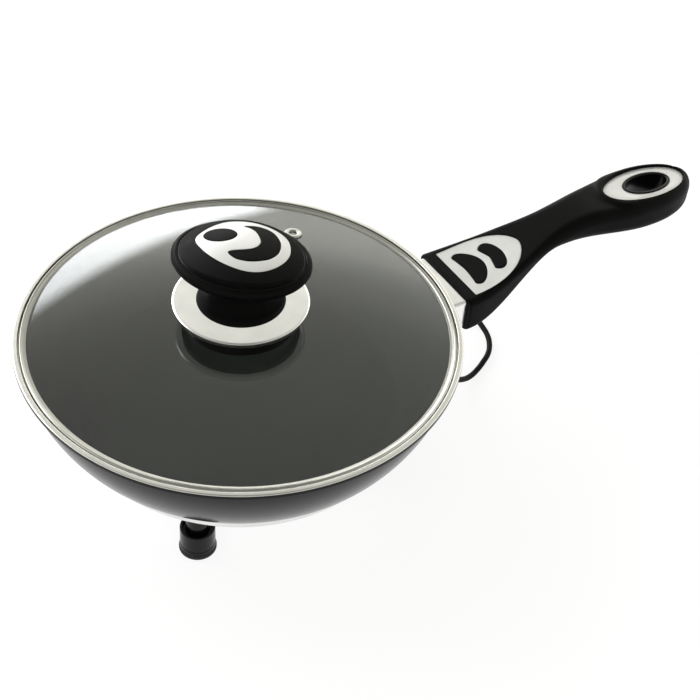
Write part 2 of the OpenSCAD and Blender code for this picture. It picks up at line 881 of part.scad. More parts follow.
module lid_band() {
    edge = 0.8;
    in_r = band_r - band_w;
    color("gainsboro") at_pan() rotate_extrude($fn = 128)
        polygon([
            [in_r, band_low_z], [band_r, band_low_z],
            [band_r, band_top_z - edge], [band_r - edge, band_top_z],
            [in_r, band_top_z], [in_r, band_top_z - band_t], [band_r - band_t, band_top_z - band_t],
            [band_r - band_t, band_low_z + band_t], [in_r, band_low_z + band_t]
        ]);
}

module steam_vent() {
    flange_t = 0.8;
    sag = 0.15;
    low_r = vent_r - 0.5;
    low_z = -glass_t - sag;
    color("gainsboro") at_pan() at_vent() rotate_extrude()
        polygon([
            [vent_hole_r, low_z - flange_t], [low_r, low_z - flange_t],
            [low_r, low_z], [vent_neck_r, low_z],
            [vent_neck_r, sag], [vent_r, sag],
            [vent_r - flange_t, sag + flange_t], [vent_hole_r, sag + flange_t]
        ]);
}

// Knob

disc_low_z = apex_z + seat_h;
disc_top_z = disc_low_z + disc_h;
grip_z = disc_top_z + neck_h;
seam_z = grip_z + grip_h;
cap_top_z = seam_z + cap_rise;
screw_bore_r = knob_screw_r + fit;
insert_r = 2.5 * knob_screw_r;
insert_h = 14;
knob_steps = 6;

module at_knob() {
    at_pan() rotate([0, 0, knob_turn]) children();
}

module knob_seat() {
    inside_r = disc_low_r - disc_t - clear;
    foot_rs = [for (i = [0:knob_steps]) screw_bore_r + (seat_r - screw_bore_r) * i / knob_steps];
    color([0.06, 0.06, 0.06]) at_knob() rotate_extrude($fn = 96)
        polygon(concat(
            [for (r = foot_rs) [r, dome_z(r) + fit]],
            [
                [seat_r, disc_low_z - seat_lip], [inside_r, disc_low_z - seat_lip],
                [inside_r, disc_top_z - disc_t - fit], [screw_bore_r, disc_top_z - disc_t - fit]
            ]
        ));
}

module knob_disc() {
    edge = 0.6;
    color("gainsboro") at_knob() rotate_extrude($fn = 96)
        polygon([
            [screw_bore_r, disc_top_z - disc_t], [disc_low_r - disc_t, disc_top_z - disc_t],
            [disc_low_r - disc_t, disc_low_z], [disc_low_r, disc_low_z], [disc_r, disc_top_z - edge],
            [disc_r - edge, disc_top_z], [screw_bore_r, disc_top_z]
        ]);
}

module knob_neck() {
    sides = [for (i = [0:knob_steps])
        let (s = i / knob_steps)
        [neck_r + (neck_top_r - neck_r) * sin(90 * s), disc_top_z + neck_h * s]];
    color([0.05, 0.05, 0.05]) at_knob() rotate_extrude($fn = 96)
        polygon(concat(
            [[insert_r + fit, disc_top_z]],
            sides,
            [[0, grip_z], [0, disc_top_z + insert_h + fit], [insert_r + fit, disc_top_z + insert_h + fit]]
        ));
}

// Lower part of the grip: share of the height, and how far the outline is drawn in
grip_profile = [[0, 5.5], [0.12, 2.6], [0.35, 0.6], [0.6, 0], [0.8, 0.7], [0.92, 2], [1, 4]];

module knob_grip() {
    color([0.09, 0.09, 0.09]) at_knob() loft([for (p = grip_profile)
        [for (q = oval(grip_a - p[1], grip_b - p[1])) [q[0], q[1], grip_z + grip_h * p[0]]]]);
}

// Egg-shaped outline of the plate on the cap, with an oval and a crescent window
egg = [
    [-26, 2], [-19, -8], [-7, -15], [6, -17.5], [16, -14.5], [23, -6], [25, 5], [20, 16.5], [9, 22.5],
    [-5, 23.5], [-18, 17.5]
];
crescent = [
    [-4.9, -7.6], [-2, -9.9], [1.9, -11.1], [7.3, -10.5], [12.1, -8.3], [16.9, -4.2], [19.4, 1.7],
    [19, 7.8], [16.8, 13.2], [12.6, 17.8], [8, 20.2], [3, 20.8], [-1.6, 20], [-5, 17.9], [-1, 17],
    [2.7, 14.8], [6, 10.8], [8.1, 6.7], [7.8, 2.8], [5.7, -0.2], [2.3, -2.5], [-1.3, -4.2], [-4.2, -5.8]
];

module egg_outline(grow) {
    polygon([for (p = closed_curve(egg)) p * (1 + grow / 22)]);
}

module egg_windows() {
    translate([-14, 6]) rotate(17) polygon(oval(9, 6.4, 32));
    polygon(closed_curve(crescent));
}

module dome(grow) {
    translate([0, 0, cap_top_z - dome_r]) sphere(r = dome_r + grow, $fn = 256);
}

module knob_cap() {
    color([0.09, 0.09, 0.09]) at_knob() difference() {
        intersection() {
            translate([0, 0, seam_z])
                linear_extrude(cap_rise + 1) polygon(oval(grip_a - groove_in, grip_b - groove_in));
            dome(0);
        }
        difference() {
            translate([0, 0, seam_z + 0.5]) linear_extrude(cap_rise + 1) egg_outline(inlay_gap);
            dome(inlay_proud - inlay_t);
        }
    }
}

module knob_inlay() {
    color("gainsboro") at_knob() difference() {
        intersection() {
            translate([0, 0, seam_z + 0.5]) linear_extrude(cap_rise + 1) difference() {
                egg_outline(0);
                egg_windows();
            }
            dome(inlay_proud);
        }
        dome(inlay_proud - inlay_t + fit);
    }
}

module knob_insert() {
    color("goldenrod") at_knob() difference() {
        translate([0, 0, disc_top_z]) cylinder(r = insert_r, h = insert_h);
        translate([0, 0, disc_top_z - 1]) cylinder(r = screw_bore_r, h = insert_h + 2);
    }
}

washer_t = 1.5;
washer_r = 8;
washer_z = apex_z - glass_t - washer_t - fit;

module knob_washer() {
    color([0.75, 0.75, 0.72]) at_knob() difference() {
        translate([0, 0, washer_z]) cylinder(r = washer_r, h = washer_t);
        translate([0, 0, washer_z - 1]) cylinder(r = screw_bore_r, h = washer_t + 2);
    }
}

module knob_screw() {
    color("darkgray") at_knob() {
        translate([0, 0, washer_z]) cylinder(r = knob_screw_r, h = disc_top_z + insert_h - 2 - washer_z);
        translate([0, 0, washer_z - screw_head_t]) cylinder(r = 2.5 * knob_screw_r, h = screw_head_t);
    }
}

// Cord: out of the housing, round under the handle and into a tied coil behind the pan

cord_r = cord_d / 2;
relief_neck_r = 5;
relief_flange_r = 6.2;
relief_flange_t = 2;
relief_end_r = cord_r + 0.8;
lie_z = cord_r + 0.1;
relief_x = housing_x1 + relief_len;

module strain_relief() {
    color([0.08, 0.08, 0.08]) at_pan() translate([housing_x1, outlet_y, outlet_z]) rotate([0, 90, 0])
        rotate_extrude()
            polygon([
                [0, -housing_t - relief_flange_t], [relief_flange_r, -housing_t - relief_flange_t],
                [relief_flange_r, -housing_t], [relief_neck_r, -housing_t], [relief_neck_r, 0],
                [relief_flange_r, 0], [relief_flange_r, relief_flange_t],
                [relief_neck_r, relief_flange_t + 1], [relief_end_r, relief_len], [0, relief_len]
            ]);
}

// Coil: spirals in on the table, climbs in half a turn, and spirals out on top
coil_at = [76, 131];
coil_start = 45;
coil_out_r = 34.5;
turn_rings = 24;
spiral_rings = 56;
climb_rings = 12;
coil_rings = 2 * spiral_rings + climb_rings;
coil_pitch = cord_d + coil_gap;
coil_low_z = cord_r + tie_t + 0.4;

function coil_r(i) =
    let (middle = spiral_rings + climb_rings / 2)
    coil_out_r - coil_pitch * (middle - abs(i - middle)) / turn_rings;

function coil_point(i) =
    let (a = coil_start + 360 * i / turn_rings, r = coil_r(i))
    [
        coil_at[0] + r * cos(a),
        coil_at[1] + r * sin(a),
        coil_low_z + coil_pitch * ease(i, spiral_rings, spiral_rings + climb_rings)
    ];

coil_end_turn = coil_start + 360 * coil_rings / turn_rings + 90;
coil_end = coil_point(coil_rings);
tail_len = 5;
tail = tail_len * [cos(coil_end_turn), sin(coil_end_turn), 0];
lead_in = tail_len * [cos(coil_start + 90), sin(coil_start + 90), 0];

coil_path = concat(
    [coil_point(0) - lead_in],
    [for (i = [0:coil_rings]) coil_point(i)],
    [coil_end + tail, coil_end + 2 * tail]
);

// Least gap of the coil to itself, over rings at least half a turn apart
coil_least_gap = min([for (i = [0:coil_rings - climb_rings], j = [i + climb_rings:coil_rings])
    norm(coil_point(i) - coil_point(j)) - cord_d]);

// Free stretch, from the strain relief to the coil
cord_path = concat(
    [
        [relief_x, outlet_y, outlet_z], [119, -27, 21.6], [127, -26.6, 18.6], [136, -25.4, 12],
        [145, -23, 6], [153, -20, 2.8],
        [161, -16.3, lie_z], [169, -11.8, lie_z], [176.5, -6.5, lie_z], [182, 0, lie_z],
        [186, 8, lie_z], [188, 17, lie_z], [189, 26, lie_z], [188.5, 36, lie_z], [185.5, 53, lie_z],
        [178, 71, lie_z], [166.5, 87, lie_z], [153, 102.5, lie_z], [142, 113.3, lie_z], [132, 123.6, lie_z],
        [121, 134.8, 2.2], [111, 144.8, 2.8]
    ],
    [coil_path[0]]
);

function path_length(p) =
    let (steps = [for (i = [1:len(p) - 1]) norm(p[i] - p[i - 1])])
    steps * [for (step = steps) 1];

echo(coil_least_gap = coil_least_gap);
echo(cord_length = path_length(cord_path) + path_length(coil_path));

function unit(v) = v / norm(v);

// Round ring of a tube, square to the path at point i
function tube_ring(p, i, r, sides) =
    let (
        ahead = unit(p[min(i + 1, len(p) - 1)] - p[max(i - 1, 0)]),
        across = unit(cross([0, 0, 1], ahead)),
        over = cross(ahead, across)
    )
    [for (k = [0:sides - 1]) p[i] + r * (cos(360 * k / sides) * across + sin(360 * k / sides) * over)];

module tube(p, r, sides) {
    loft([for (i = [0:len(p) - 1]) tube_ring(p, i, r, sides)]);
}

module cord() {
    color([0.06, 0.06, 0.06]) at_pan() tube(cord_path, cord_r, 10);
}

module cord_coil() {
    color([0.06, 0.06, 0.06]) at_pan() tube(coil_path, cord_r, 6);
}

// Strap round all turns of the coil
tie_turn = 300;
tie_gap = 0.3;

module cord_tie() {
    in_r = coil_r(spiral_rings + climb_rings / 2) - cord_r - tie_gap;
    out_r = coil_out_r + cord_r + tie_gap;
    low_z = coil_low_z - cord_r - tie_gap;
    high_z = coil_low_z + coil_pitch + cord_r + tie_gap;
    color([0.1, 0.1, 0.1]) at_pan() translate(coil_at) rotate([0, 0, tie_turn]) difference() {
        translate([in_r - tie_t, -tie_w / 2, low_z - tie_t])
            cube([out_r - in_r + 2 * tie_t, tie_w, high_z - low_z + 2 * tie_t]);
        translate([in_r, -tie_w, low_z]) cube([out_r - in_r, 2 * tie_w, high_z - low_z]);
    }
}

// Plug on the coil's end, lying on the table
plug_h = 2 * coil_end[2] - 0.2;
plug_round = 4;
blade_len = 16;
blade_h = 6.3;
blade_t = 1.5;
blade_apart = 12.7;

module at_plug() {
    at_pan() translate(coil_end + 2 * tail) rotate([0, 0, coil_end_turn]) children();
}

module plug_relief() {
    color([0.06, 0.06, 0.06]) at_plug() rotate([0, 90, 0]) rotate_extrude()
        polygon([[0, 0], [relief_end_r, 0], [relief_neck_r, plug_relief_len], [0, plug_relief_len]]);
}

module plug_body() {
    profile = [[0, 0.5], [0.15, 0.68], [0.4, 0.92], [0.6, 1], [1, 1]];
    color([0.06, 0.06, 0.06]) at_plug() loft([for (p = profile)
        [for (q = round_rect(plug_w / 2 * p[1], plug_h / 2 * p[1], plug_round * p[1]))
            [plug_relief_len + plug_len * p[0], q[0], q[1]]]]);
}

module plug_blades() {
    tip = 2;
    color("goldenrod") at_plug() translate([plug_relief_len + plug_len, 0, 0])
        for (side = [-1, 1]) {
            translate([0, side * blade_apart / 2 + blade_t / 2, 0])
                rotate([90, 0, 0])
                    linear_extrude(blade_t)
                        polygon([
                            [0, -blade_h / 2], [blade_len - tip, -blade_h / 2],
                            [blade_len, -blade_h / 2 + tip], [blade_len, blade_h / 2 - tip],
                            [blade_len - tip, blade_h / 2], [0, blade_h / 2]
                        ]);
        }
}

pan_body();
base_cover();
cover_screws();
heating_element();
thermostat();
thermal_fuse();
terminal_block();
supply_leads();
element_leads();
terminal_housing();
housing_screws();
foot_front_left();
foot_front_right();
foot_rear_left();
foot_rear_right();
pad_front_left();
pad_front_right();
pad_rear_left();
pad_rear_right();
foot_screws();
foot_nuts();
handle_bracket();
ferrule();
handle_body();
handle_screw();
front_inlay();
rear_inlay();
hanging_sleeve();
lid_glass();
lid_band();
steam_vent();
knob_seat();
knob_disc();
knob_neck();
knob_grip();
knob_cap();
knob_inlay();
knob_insert();
knob_washer();
knob_screw();
strain_relief();
cord();
cord_coil();
cord_tie();
plug_relief();
plug_body();
plug_blades();
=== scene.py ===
import math

import bmesh
import bpy
from mathutils import Matrix, Vector


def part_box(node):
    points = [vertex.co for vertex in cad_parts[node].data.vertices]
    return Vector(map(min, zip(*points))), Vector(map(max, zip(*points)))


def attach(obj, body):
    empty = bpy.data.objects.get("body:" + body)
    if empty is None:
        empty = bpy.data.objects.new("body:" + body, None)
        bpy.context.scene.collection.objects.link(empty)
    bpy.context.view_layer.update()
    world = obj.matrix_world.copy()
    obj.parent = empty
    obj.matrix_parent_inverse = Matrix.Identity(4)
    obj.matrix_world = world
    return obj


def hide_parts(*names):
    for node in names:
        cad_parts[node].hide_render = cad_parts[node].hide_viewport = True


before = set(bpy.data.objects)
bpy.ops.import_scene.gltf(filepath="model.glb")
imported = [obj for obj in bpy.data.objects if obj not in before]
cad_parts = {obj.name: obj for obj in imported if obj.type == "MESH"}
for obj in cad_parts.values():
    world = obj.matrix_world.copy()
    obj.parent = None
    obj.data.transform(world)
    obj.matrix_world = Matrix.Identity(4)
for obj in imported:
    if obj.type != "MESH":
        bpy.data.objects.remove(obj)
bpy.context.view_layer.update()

scene = bpy.context.scene
scene.view_settings.view_transform = "Standard"


# Camera
# It stands in front on the left and looks down on the pan, turned a little about its own line of sight.
# It is no piece of the skillet.
eye = Vector((-0.3585, -0.4903, 0.5753))
aim = Vector((-0.0008, 0.0380, 0.0))
camera_roll = math.radians(4.89)


def put(name, data):
    """New object in the scene."""
    thing = bpy.data.objects.new(name, data)
    scene.collection.objects.link(thing)
    return thing


camera = put("camera", bpy.data.cameras.new("camera"))
camera.data.sensor_width = 36
camera.data.lens = 68.83
level = (aim - eye).to_track_quat("-Z", "Y").to_matrix()
camera.matrix_world = Matrix.Translation(eye) @ (level @ Matrix.Rotation(camera_roll, 3, "Z")).to_4x4()
scene.camera = camera


# Cord
# A round mains cord in a black soft sheath. It leaves the strain relief, drops to the table, bends back
# under the handle and ends in a tied coil of two layers behind the pan.
mm = 0.001
pan_low, pan_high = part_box("pan_body")
pan_middle = Vector(((pan_low.x + pan_high.x) / 2, 0, 0))
cord_d = 3.6
cord_lie = 1.9
cord_drop = [
    (112, -27, 22), (119, -27, 21.6), (127, -26.6, 18.6), (136, -25.4, 12), (145, -23, 6), (153, -20, 2.8),
]
cord_bend = [
    (161, -16.3), (169, -11.8), (176.5, -6.5), (182, 0), (186, 8), (188, 17), (189, 26), (188.5, 36),
    (185.5, 53), (178, 71), (166.5, 87), (153, 102.5), (142, 113.3), (132, 123.6),
]
cord_climb = [(121, 134.8, 2.2), (111, 144.8, 2.8)]
cord_route = cord_drop + [(x, y, cord_lie) for x, y in cord_bend] + cord_climb
coil_middle = Vector((76, 131, 0))
coil_start = math.radians(45)
coil_out_r = 34.5
coil_pitch = 4.1
coil_low_z = 3.2
turn_rings = 24
spiral_rings = 56
climb_rings = 12
coil_rings = 2 * spiral_rings + climb_rings
tail_len = 5


def ease(x, a, b):
    """Smooth step from 0 at a to 1 at b."""
    s = min(1, max(0, (x - a) / (b - a)))
    return s * s * (3 - 2 * s)


def heading(angle):
    """Level unit vector at an angle from the handle's line."""
    return Vector((math.cos(angle), math.sin(angle), 0))


def from_pan(x, y, z):
    """Place of a point that is given in mm from the pan's axis and the table."""
    return pan_middle + Vector((x, y, z)) * mm


def coil_r(i):
    middle = spiral_rings + climb_rings / 2
    return coil_out_r - coil_pitch * (middle - abs(i - middle)) / turn_rings


def coil_turn(i):
    return coil_start + math.tau * i / turn_rings


def coil_point(i):
    climb = coil_pitch * ease(i, spiral_rings, spiral_rings + climb_rings)
    return coil_middle + coil_r(i) * heading(coil_turn(i)) + Vector((0, 0, coil_low_z + climb))


def feed(tree, node, inputs):
    """Sets a node's inputs to numbers, or links them to outputs of other nodes."""
    for name, value in inputs.items():
        if isinstance(value, bpy.types.NodeSocket):
            tree.links.new(value, node.inputs[name])
        else:
            node.inputs[name].default_value = value
    return node


def add_node(tree, kind, inputs=None, **settings):
    """New node with its settings and inputs."""
    node = tree.nodes.new(kind)
    for name, value in settings.items():
        setattr(node, name, value)
    return feed(tree, node, inputs or {})


def mapped(tree, value, low, high, to_low=0, to_high=1, **settings):
    """Value taken from one range to another."""
    ends = {"From Min": low, "From Max": high, "To Min": to_low, "To Max": to_high}
    return add_node(tree, "ShaderNodeMapRange", {"Value": value, **ends}, **settings).outputs["Result"]


def noise(tree, place, size_mm, detail=3):
    """Noise of a given feature size, read at a place."""
    inputs = {"Vector": place, "Scale": 1 / (size_mm * mm), "Detail": detail}
    return add_node(tree, "ShaderNodeTexNoise", inputs).outputs["Fac"]


def new_material(name):
    """Material with its tree and its shader."""
    material = bpy.data.materials.new(name)
    material.use_nodes = True
    return material, material.node_tree, material.node_tree.nodes["Principled BSDF"]


def finish(name, colour, rough, tone=0.1, patch=18, grain=0.9, dent=0.01, metallic=0, gloss=0.5,
           stretch=(1, 1, 1)):
    """Surface whose colour and polish drift in patches, with a fine grain in its skin. Sizes are in mm."""
    material, tree, shader = new_material(name)
    low, high = 0.3, 0.7
    place = add_node(tree, "ShaderNodeTexCoord").outputs["Object"]
    shade = add_node(tree, "ShaderNodeValToRGB", {"Fac": noise(tree, place, patch, 5)})
    for stop, position, share in zip(shade.color_ramp.elements, (low, high), (1 - tone, 1 + tone)):
        stop.position = position
        stop.color = (*(share * c for c in colour), 1)
    drift = noise(tree, place, patch / 3, 5)
    pull = add_node(tree, "ShaderNodeMapping", {"Vector": place, "Scale": stretch}).outputs["Vector"]
    skin = add_node(tree, "ShaderNodeBump", {"Height": noise(tree, pull, grain, 2), "Distance": dent * mm})
    feed(tree, shader, {
        "Base Color": shade.outputs["Color"],
        "Roughness": mapped(tree, drift, low, high, (1 - tone) * rough, (1 + tone) * rough),
        "Normal": skin.outputs["Normal"],
        "Metallic": metallic,
        "Specular IOR Level": gloss,
    })
    return material


def add_piece(name, data, body, slot, *nodes):
    """New piece that rides on a body and stands for the nodes that it replaces. Its slot is not used."""
    data.name = name
    piece = put(name, data)
    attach(piece, body)
    if nodes:
        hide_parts(*nodes)
    return piece


cord_sheath = finish("cord_sheath", (0.003, 0.003, 0.003), 0.45, patch=30, grain=1.2, gloss=0.06)
coil_end_turn = coil_turn(coil_rings) + math.pi / 2
cord_tail = tail_len * heading(coil_end_turn)
coil_end = coil_point(coil_rings)
cord_end = coil_end + 2 * cord_tail
cord_points = [Vector(p) for p in cord_route]
cord_points += [coil_point(0) - tail_len * heading(coil_start + math.pi / 2)]
cord_points += [coil_point(i) for i in range(coil_rings + 1)]
cord_points += [coil_end + cord_tail, cord_end]
cord_curve = bpy.data.curves.new("mains_cord", "CURVE")
cord_curve.dimensions = "3D"
cord_curve.bevel_depth = cord_d / 2 * mm
cord_curve.bevel_resolution = 5
cord_curve.resolution_u = 5
cord_curve.use_fill_caps = True
cord_curve.materials.append(cord_sheath)
cord_line = cord_curve.splines.new("BEZIER")
cord_line.bezier_points.add(len(cord_points) - 1)
for knot, point in zip(cord_line.bezier_points, cord_points):
    knot.co = from_pan(*point)
    knot.handle_left_type = "AUTO"
    knot.handle_right_type = "AUTO"
mains_cord = add_piece("mains_cord", cord_curve, "skillet", "cord_black", "cord", "cord_coil")


# Cord tie
# A woven hook-and-loop strap round all the turns of the coil, 6 mm wide and 1 mm thick, with its edges
# rounded off.
tie_turn = math.radians(300)
tie_w = 6
tie_t = 1
tie_gap = 0.3
tie_corner = 4
tie_section = ((-1, 0.15), (-0.94, 0), (0.94, 0), (1, 0.15), (1, 0.85), (0.94, 1), (-0.94, 1), (-1, 0.85))


def round_rect(half_w, half_h, corner, steps=6):
    """Points of a rectangle with round corners, with one more point beside each end of a corner."""
    points = []
    for quarter in range(4):
        side_x = 1 if quarter in (0, 3) else -1
        side_y = 1 if quarter < 2 else -1
        for step in range(-1, steps + 2):
            turn = math.pi / 2 * (quarter + min(max(step, 0), steps) / steps)
            beyond = -0.1 * corner if step < 0 else 0.1 * corner if step > steps else 0
            x = side_x * (half_w - corner) + corner * math.cos(turn) - beyond * math.sin(turn)
            y = side_y * (half_h - corner) + corner * math.sin(turn) + beyond * math.cos(turn)
            points.append((x, y))
    return points


def settled_mesh(mesh, material, sharp):
    """Merges doubles, points the faces outwards, shades smooth up to an angle and sets the material."""
    shape = bmesh.new()
    shape.from_mesh(mesh)
    bmesh.ops.remove_doubles(shape, verts=shape.verts, dist=1e-7)
    bmesh.ops.dissolve_degenerate(shape, edges=shape.edges, dist=1e-7)
    bmesh.ops.recalc_face_normals(shape, faces=shape.faces)
    for face in shape.faces:
        face.smooth = True
    shape.to_mesh(mesh)
    shape.free()
    mesh.set_sharp_from_angle(angle=math.radians(sharp))
    mesh.materials.clear()
    mesh.materials.append(material)
    return mesh


def lofted(rings, material, closed=False, sharp=40):
    """Skin through rings of equal counts of points, with end faces unless the row of rings is closed."""
    rows, count = len(rings), len(rings[0])
    faces = []
    for i in range(rows if closed else rows - 1):
        low, high = i * count, (i + 1) % rows * count
        for j in range(count):
            k = (j + 1) % count
            faces.append((low + j, low + k, high + k, high + j))
    if not closed:
        faces += [range(count - 1, -1, -1), range((rows - 1) * count, rows * count)]
    mesh = bpy.data.meshes.new("skin")
    mesh.from_pydata([p for ring in rings for p in ring], [], faces)
    return settled_mesh(mesh, material, sharp)


tie_webbing = finish("tie_webbing", (0.016, 0.016, 0.017), 0.85, patch=6, grain=0.5, dent=0.12, gloss=0.2)
tie_in_r = coil_r(spiral_rings + climb_rings / 2) - cord_d / 2 - tie_gap
tie_out_r = coil_out_r + cord_d / 2 + tie_gap
tie_low_z = coil_low_z - cord_d / 2 - tie_gap
tie_high_z = coil_low_z + coil_pitch + cord_d / 2 + tie_gap
tie_place = (
    Matrix.Translation(from_pan(*coil_middle))
    @ Matrix.Rotation(tie_turn, 4, "Z")
    @ Matrix.Translation(Vector((tie_in_r + tie_out_r, 0, tie_low_z + tie_high_z)) * mm / 2)
)
tie_rings = []
for share, out in tie_section:
    around = round_rect(
        (tie_out_r - tie_in_r) / 2 + out * tie_t,
        (tie_high_z - tie_low_z) / 2 + out * tie_t,
        tie_corner + out * tie_t,
    )
    tie_rings.append([tie_place @ (Vector((r, share * tie_w / 2, z)) * mm) for r, z in around])
tie_mesh = lofted(tie_rings, tie_webbing, closed=True)
tie_strap = add_piece("tie_strap", tie_mesh, "skillet", "cord_black", "cord_tie")


# Strain reliefs
# Tapered soft sleeves moulded on the cord where it leaves the housing and where it enters the plug. Ring
# grooves let them bend. The first is snapped into the housing's wall between two flanges.
relief_len = 28
relief_end_r = 2.6
relief_neck_r = 5
relief_flange_r = 6.2
relief_flange_t = 2
relief_wall_t = 1.6
relief_groove = 0.6
relief_grooves = 8
plug_relief_len = 22
plug_relief_grooves = 6


def maths(tree, operation, *values):
    """Result of a maths node on sockets or numbers."""
    return add_node(tree, "ShaderNodeMath", dict(enumerate(values)), operation=operation).outputs[0]


def new_tree(name, **inputs):
    """Geometry tree with named inputs, the input sockets by name, and the output socket."""
    tree = bpy.data.node_groups.new(name, "GeometryNodeTree")
    for label, kind in inputs.items():
        tree.interface.new_socket(label, in_out="INPUT", socket_type="NodeSocket" + kind)
    tree.interface.new_socket("Form", in_out="OUTPUT", socket_type="NodeSocketGeometry")
    sockets = tree.nodes.new("NodeGroupInput").outputs
    return tree, sockets, tree.nodes.new("NodeGroupOutput").inputs["Form"]


def end_tree(tree, form, material, output):
    """Closes a tree: real geometry with its material."""
    real = add_node(tree, "GeometryNodeRealizeInstances", {"Geometry": form}).outputs["Geometry"]
    paint = add_node(tree, "GeometryNodeSetMaterial", {"Geometry": real, "Material": material})
    tree.links.new(paint.outputs["Geometry"], output)
    return tree


def make_turning():
    """Tree that turns a chain of points in the XZ plane about the Z axis."""
    tree, sockets, output = new_tree("turning", Profile="Geometry", Steps="Int", Finish="Material")
    profile, steps = sockets["Profile"], sockets["Steps"]
    index = add_node(tree, "GeometryNodeInputIndex").outputs["Index"]
    place = add_node(tree, "GeometryNodeInputPosition").outputs["Position"]
    size = add_node(tree, "GeometryNodeAttributeDomainSize", {"Geometry": profile})
    points = size.outputs["Point Count"]
    columns = maths(tree, "ADD", steps, 1)
    grid = add_node(tree, "GeometryNodeMeshGrid", {"Vertices X": columns, "Vertices Y": points})
    column = maths(tree, "FLOOR", maths(tree, "DIVIDE", maths(tree, "ADD", index, 0.5), points))
    row = maths(tree, "SUBTRACT", index, maths(tree, "MULTIPLY", column, points))
    turn = maths(tree, "MULTIPLY", maths(tree, "DIVIDE", column, steps), math.tau)
    inputs = {"Geometry": profile, "Value": place, "Index": row}
    sample = add_node(tree, "GeometryNodeSampleIndex", inputs, data_type="FLOAT_VECTOR").outputs["Value"]
    split = add_node(tree, "ShaderNodeSeparateXYZ", {"Vector": sample}).outputs
    joined = add_node(tree, "ShaderNodeCombineXYZ", {
        "X": maths(tree, "MULTIPLY", split["X"], maths(tree, "COSINE", turn)),
        "Y": maths(tree, "MULTIPLY", split["X"], maths(tree, "SINE", turn)),
        "Z": split["Z"],
    })
    inputs = {"Geometry": grid.outputs["Mesh"], "Position": joined.outputs["Vector"]}
    move = add_node(tree, "GeometryNodeSetPosition", inputs).outputs["Geometry"]
    weld = add_node(tree, "GeometryNodeMergeByDistance", {"Geometry": move, "Distance": 1e-7})
    return end_tree(tree, weld.outputs["Geometry"], sockets["Finish"], output)


turning = make_turning()


def plain_mesh(thing):
    """Plain mesh of an object as its modifiers leave it; the object itself goes."""
    view = bpy.context.evaluated_depsgraph_get()
    mesh = bpy.data.meshes.new_from_object(thing.evaluated_get(view), depsgraph=view)
    bpy.data.objects.remove(thing)
    return mesh


def run_tree(tree, mesh, **values):
    """Plain mesh that a tree makes from a mesh, with its inputs set by their sockets' identifiers."""
    blank = put("blank", mesh)
    modifier = blank.modifiers.new("form", "NODES")
    modifier.node_group = tree
    for item in tree.interface.items_tree:
        if item.name in values:
            modifier[item.identifier] = values[item.name]
    return plain_mesh(blank)


def turned(outline, material, place=Matrix(), steps=96, sharp=40):
    """Turned form of an outline of (radius, height) in mm, closed unless it starts and ends on the axis."""
    chain = [(r * mm, 0, z * mm) for r, z in outline]
    if outline[0][0] > 0 or outline[-1][0] > 0:
        chain.append(chain[0])
    profile = bpy.data.meshes.new("profile")
    profile.from_pydata(chain, [(i, i + 1) for i in range(len(chain) - 1)], [])
    made = settled_mesh(run_tree(turning, profile, Steps=steps, Finish=material), material, sharp)
    made.transform(place)
    return made


def soft_corners(corners, steps=4):
    """Outline of (radius, height, fillet) corners; a long flat gets one more point near its ends."""
    outline = []
    for i, (r, z, fillet) in enumerate(corners):
        here = Vector((r, z))
        arms = []
        for other in (corners[i - 1], corners[(i + 1) % len(corners)]):
            arm = Vector(other[:2]) - here
            long = fillet and arm.length > 1.7 * (fillet + other[2])
            arms.append((arm.normalized() * fillet, long))
        (before, long_before), (after, long_after) = arms
        if long_before:
            outline.append(tuple(here + 1.4 * before))
        for step in range(steps + 1 if fillet else 1):
            s = step / steps
            outline.append(tuple(here + before * (1 - s) ** 2 + after * s ** 2))
        if long_after:
            outline.append(tuple(here + 1.4 * after))
    return outline


def groove_rings(start, end, start_r, end_r, count):
    """Corners of a taper with ring grooves between two heights."""
    corners = []
    step = (end - start) / count
    for i in range(count):
        for share, depth in ((0, 0), (0.5, 0), (0.5, relief_groove), (1, relief_groove)):
            z = start + step * (i + share)
            r = start_r + (end_r - start_r) * (z - start) / (end - start) - depth
            corners.append((r, z, 0.12))
    return corners


relief_rubber = finish(
    "relief_rubber", (0.014, 0.014, 0.014), 0.5, patch=8, grain=0.8, dent=0.03, gloss=0.35
)
relief_low = -relief_wall_t - relief_flange_t
relief_outline = soft_corners(
    [(0, relief_low, 0), (relief_flange_r, relief_low, 0.4), (relief_flange_r, -relief_wall_t, 0.2)]
    + [(relief_neck_r, -relief_wall_t, 0), (relief_neck_r, 0, 0), (relief_flange_r, 0, 0.2)]
    + [(relief_flange_r, relief_flange_t, 0.5), (relief_neck_r, relief_flange_t + 1, 0.4)]
    + groove_rings(5, relief_len - 2, relief_neck_r - 0.1, relief_end_r + 0.1, relief_grooves)
    + [(relief_end_r, relief_len - 1.8, 0.1), (relief_end_r, relief_len, 0.4), (0, relief_len, 0)]
)
along_x = Matrix.Rotation(math.pi / 2, 4, "Y")
exit_x, exit_y, exit_z = cord_route[0]
outlet_place = Matrix.Translation(from_pan(exit_x - relief_len, exit_y, exit_z)) @ along_x
outlet_mesh = turned(relief_outline, relief_rubber, outlet_place, 48)
add_piece("cord_outlet", outlet_mesh, "skillet", "cord_black", "strain_relief")
plug_place = Matrix.Translation(from_pan(*cord_end)) @ Matrix.Rotation(coil_end_turn, 4, "Z")
plug_relief_outline = soft_corners(
    [(0, 0, 0), (relief_end_r, 0, 0.4), (relief_end_r, 1.8, 0.1)]
    + groove_rings(2, plug_relief_len - 4, relief_end_r + 0.1, relief_neck_r - 0.4, plug_relief_grooves)
    + [(relief_neck_r - 0.3, plug_relief_len - 3.8, 0.1), (relief_neck_r, plug_relief_len, 0)]
    + [(0, plug_relief_len, 0)]
)
plug_sleeve_mesh = turned(plug_relief_outline, relief_rubber, plug_place @ along_x, 48)
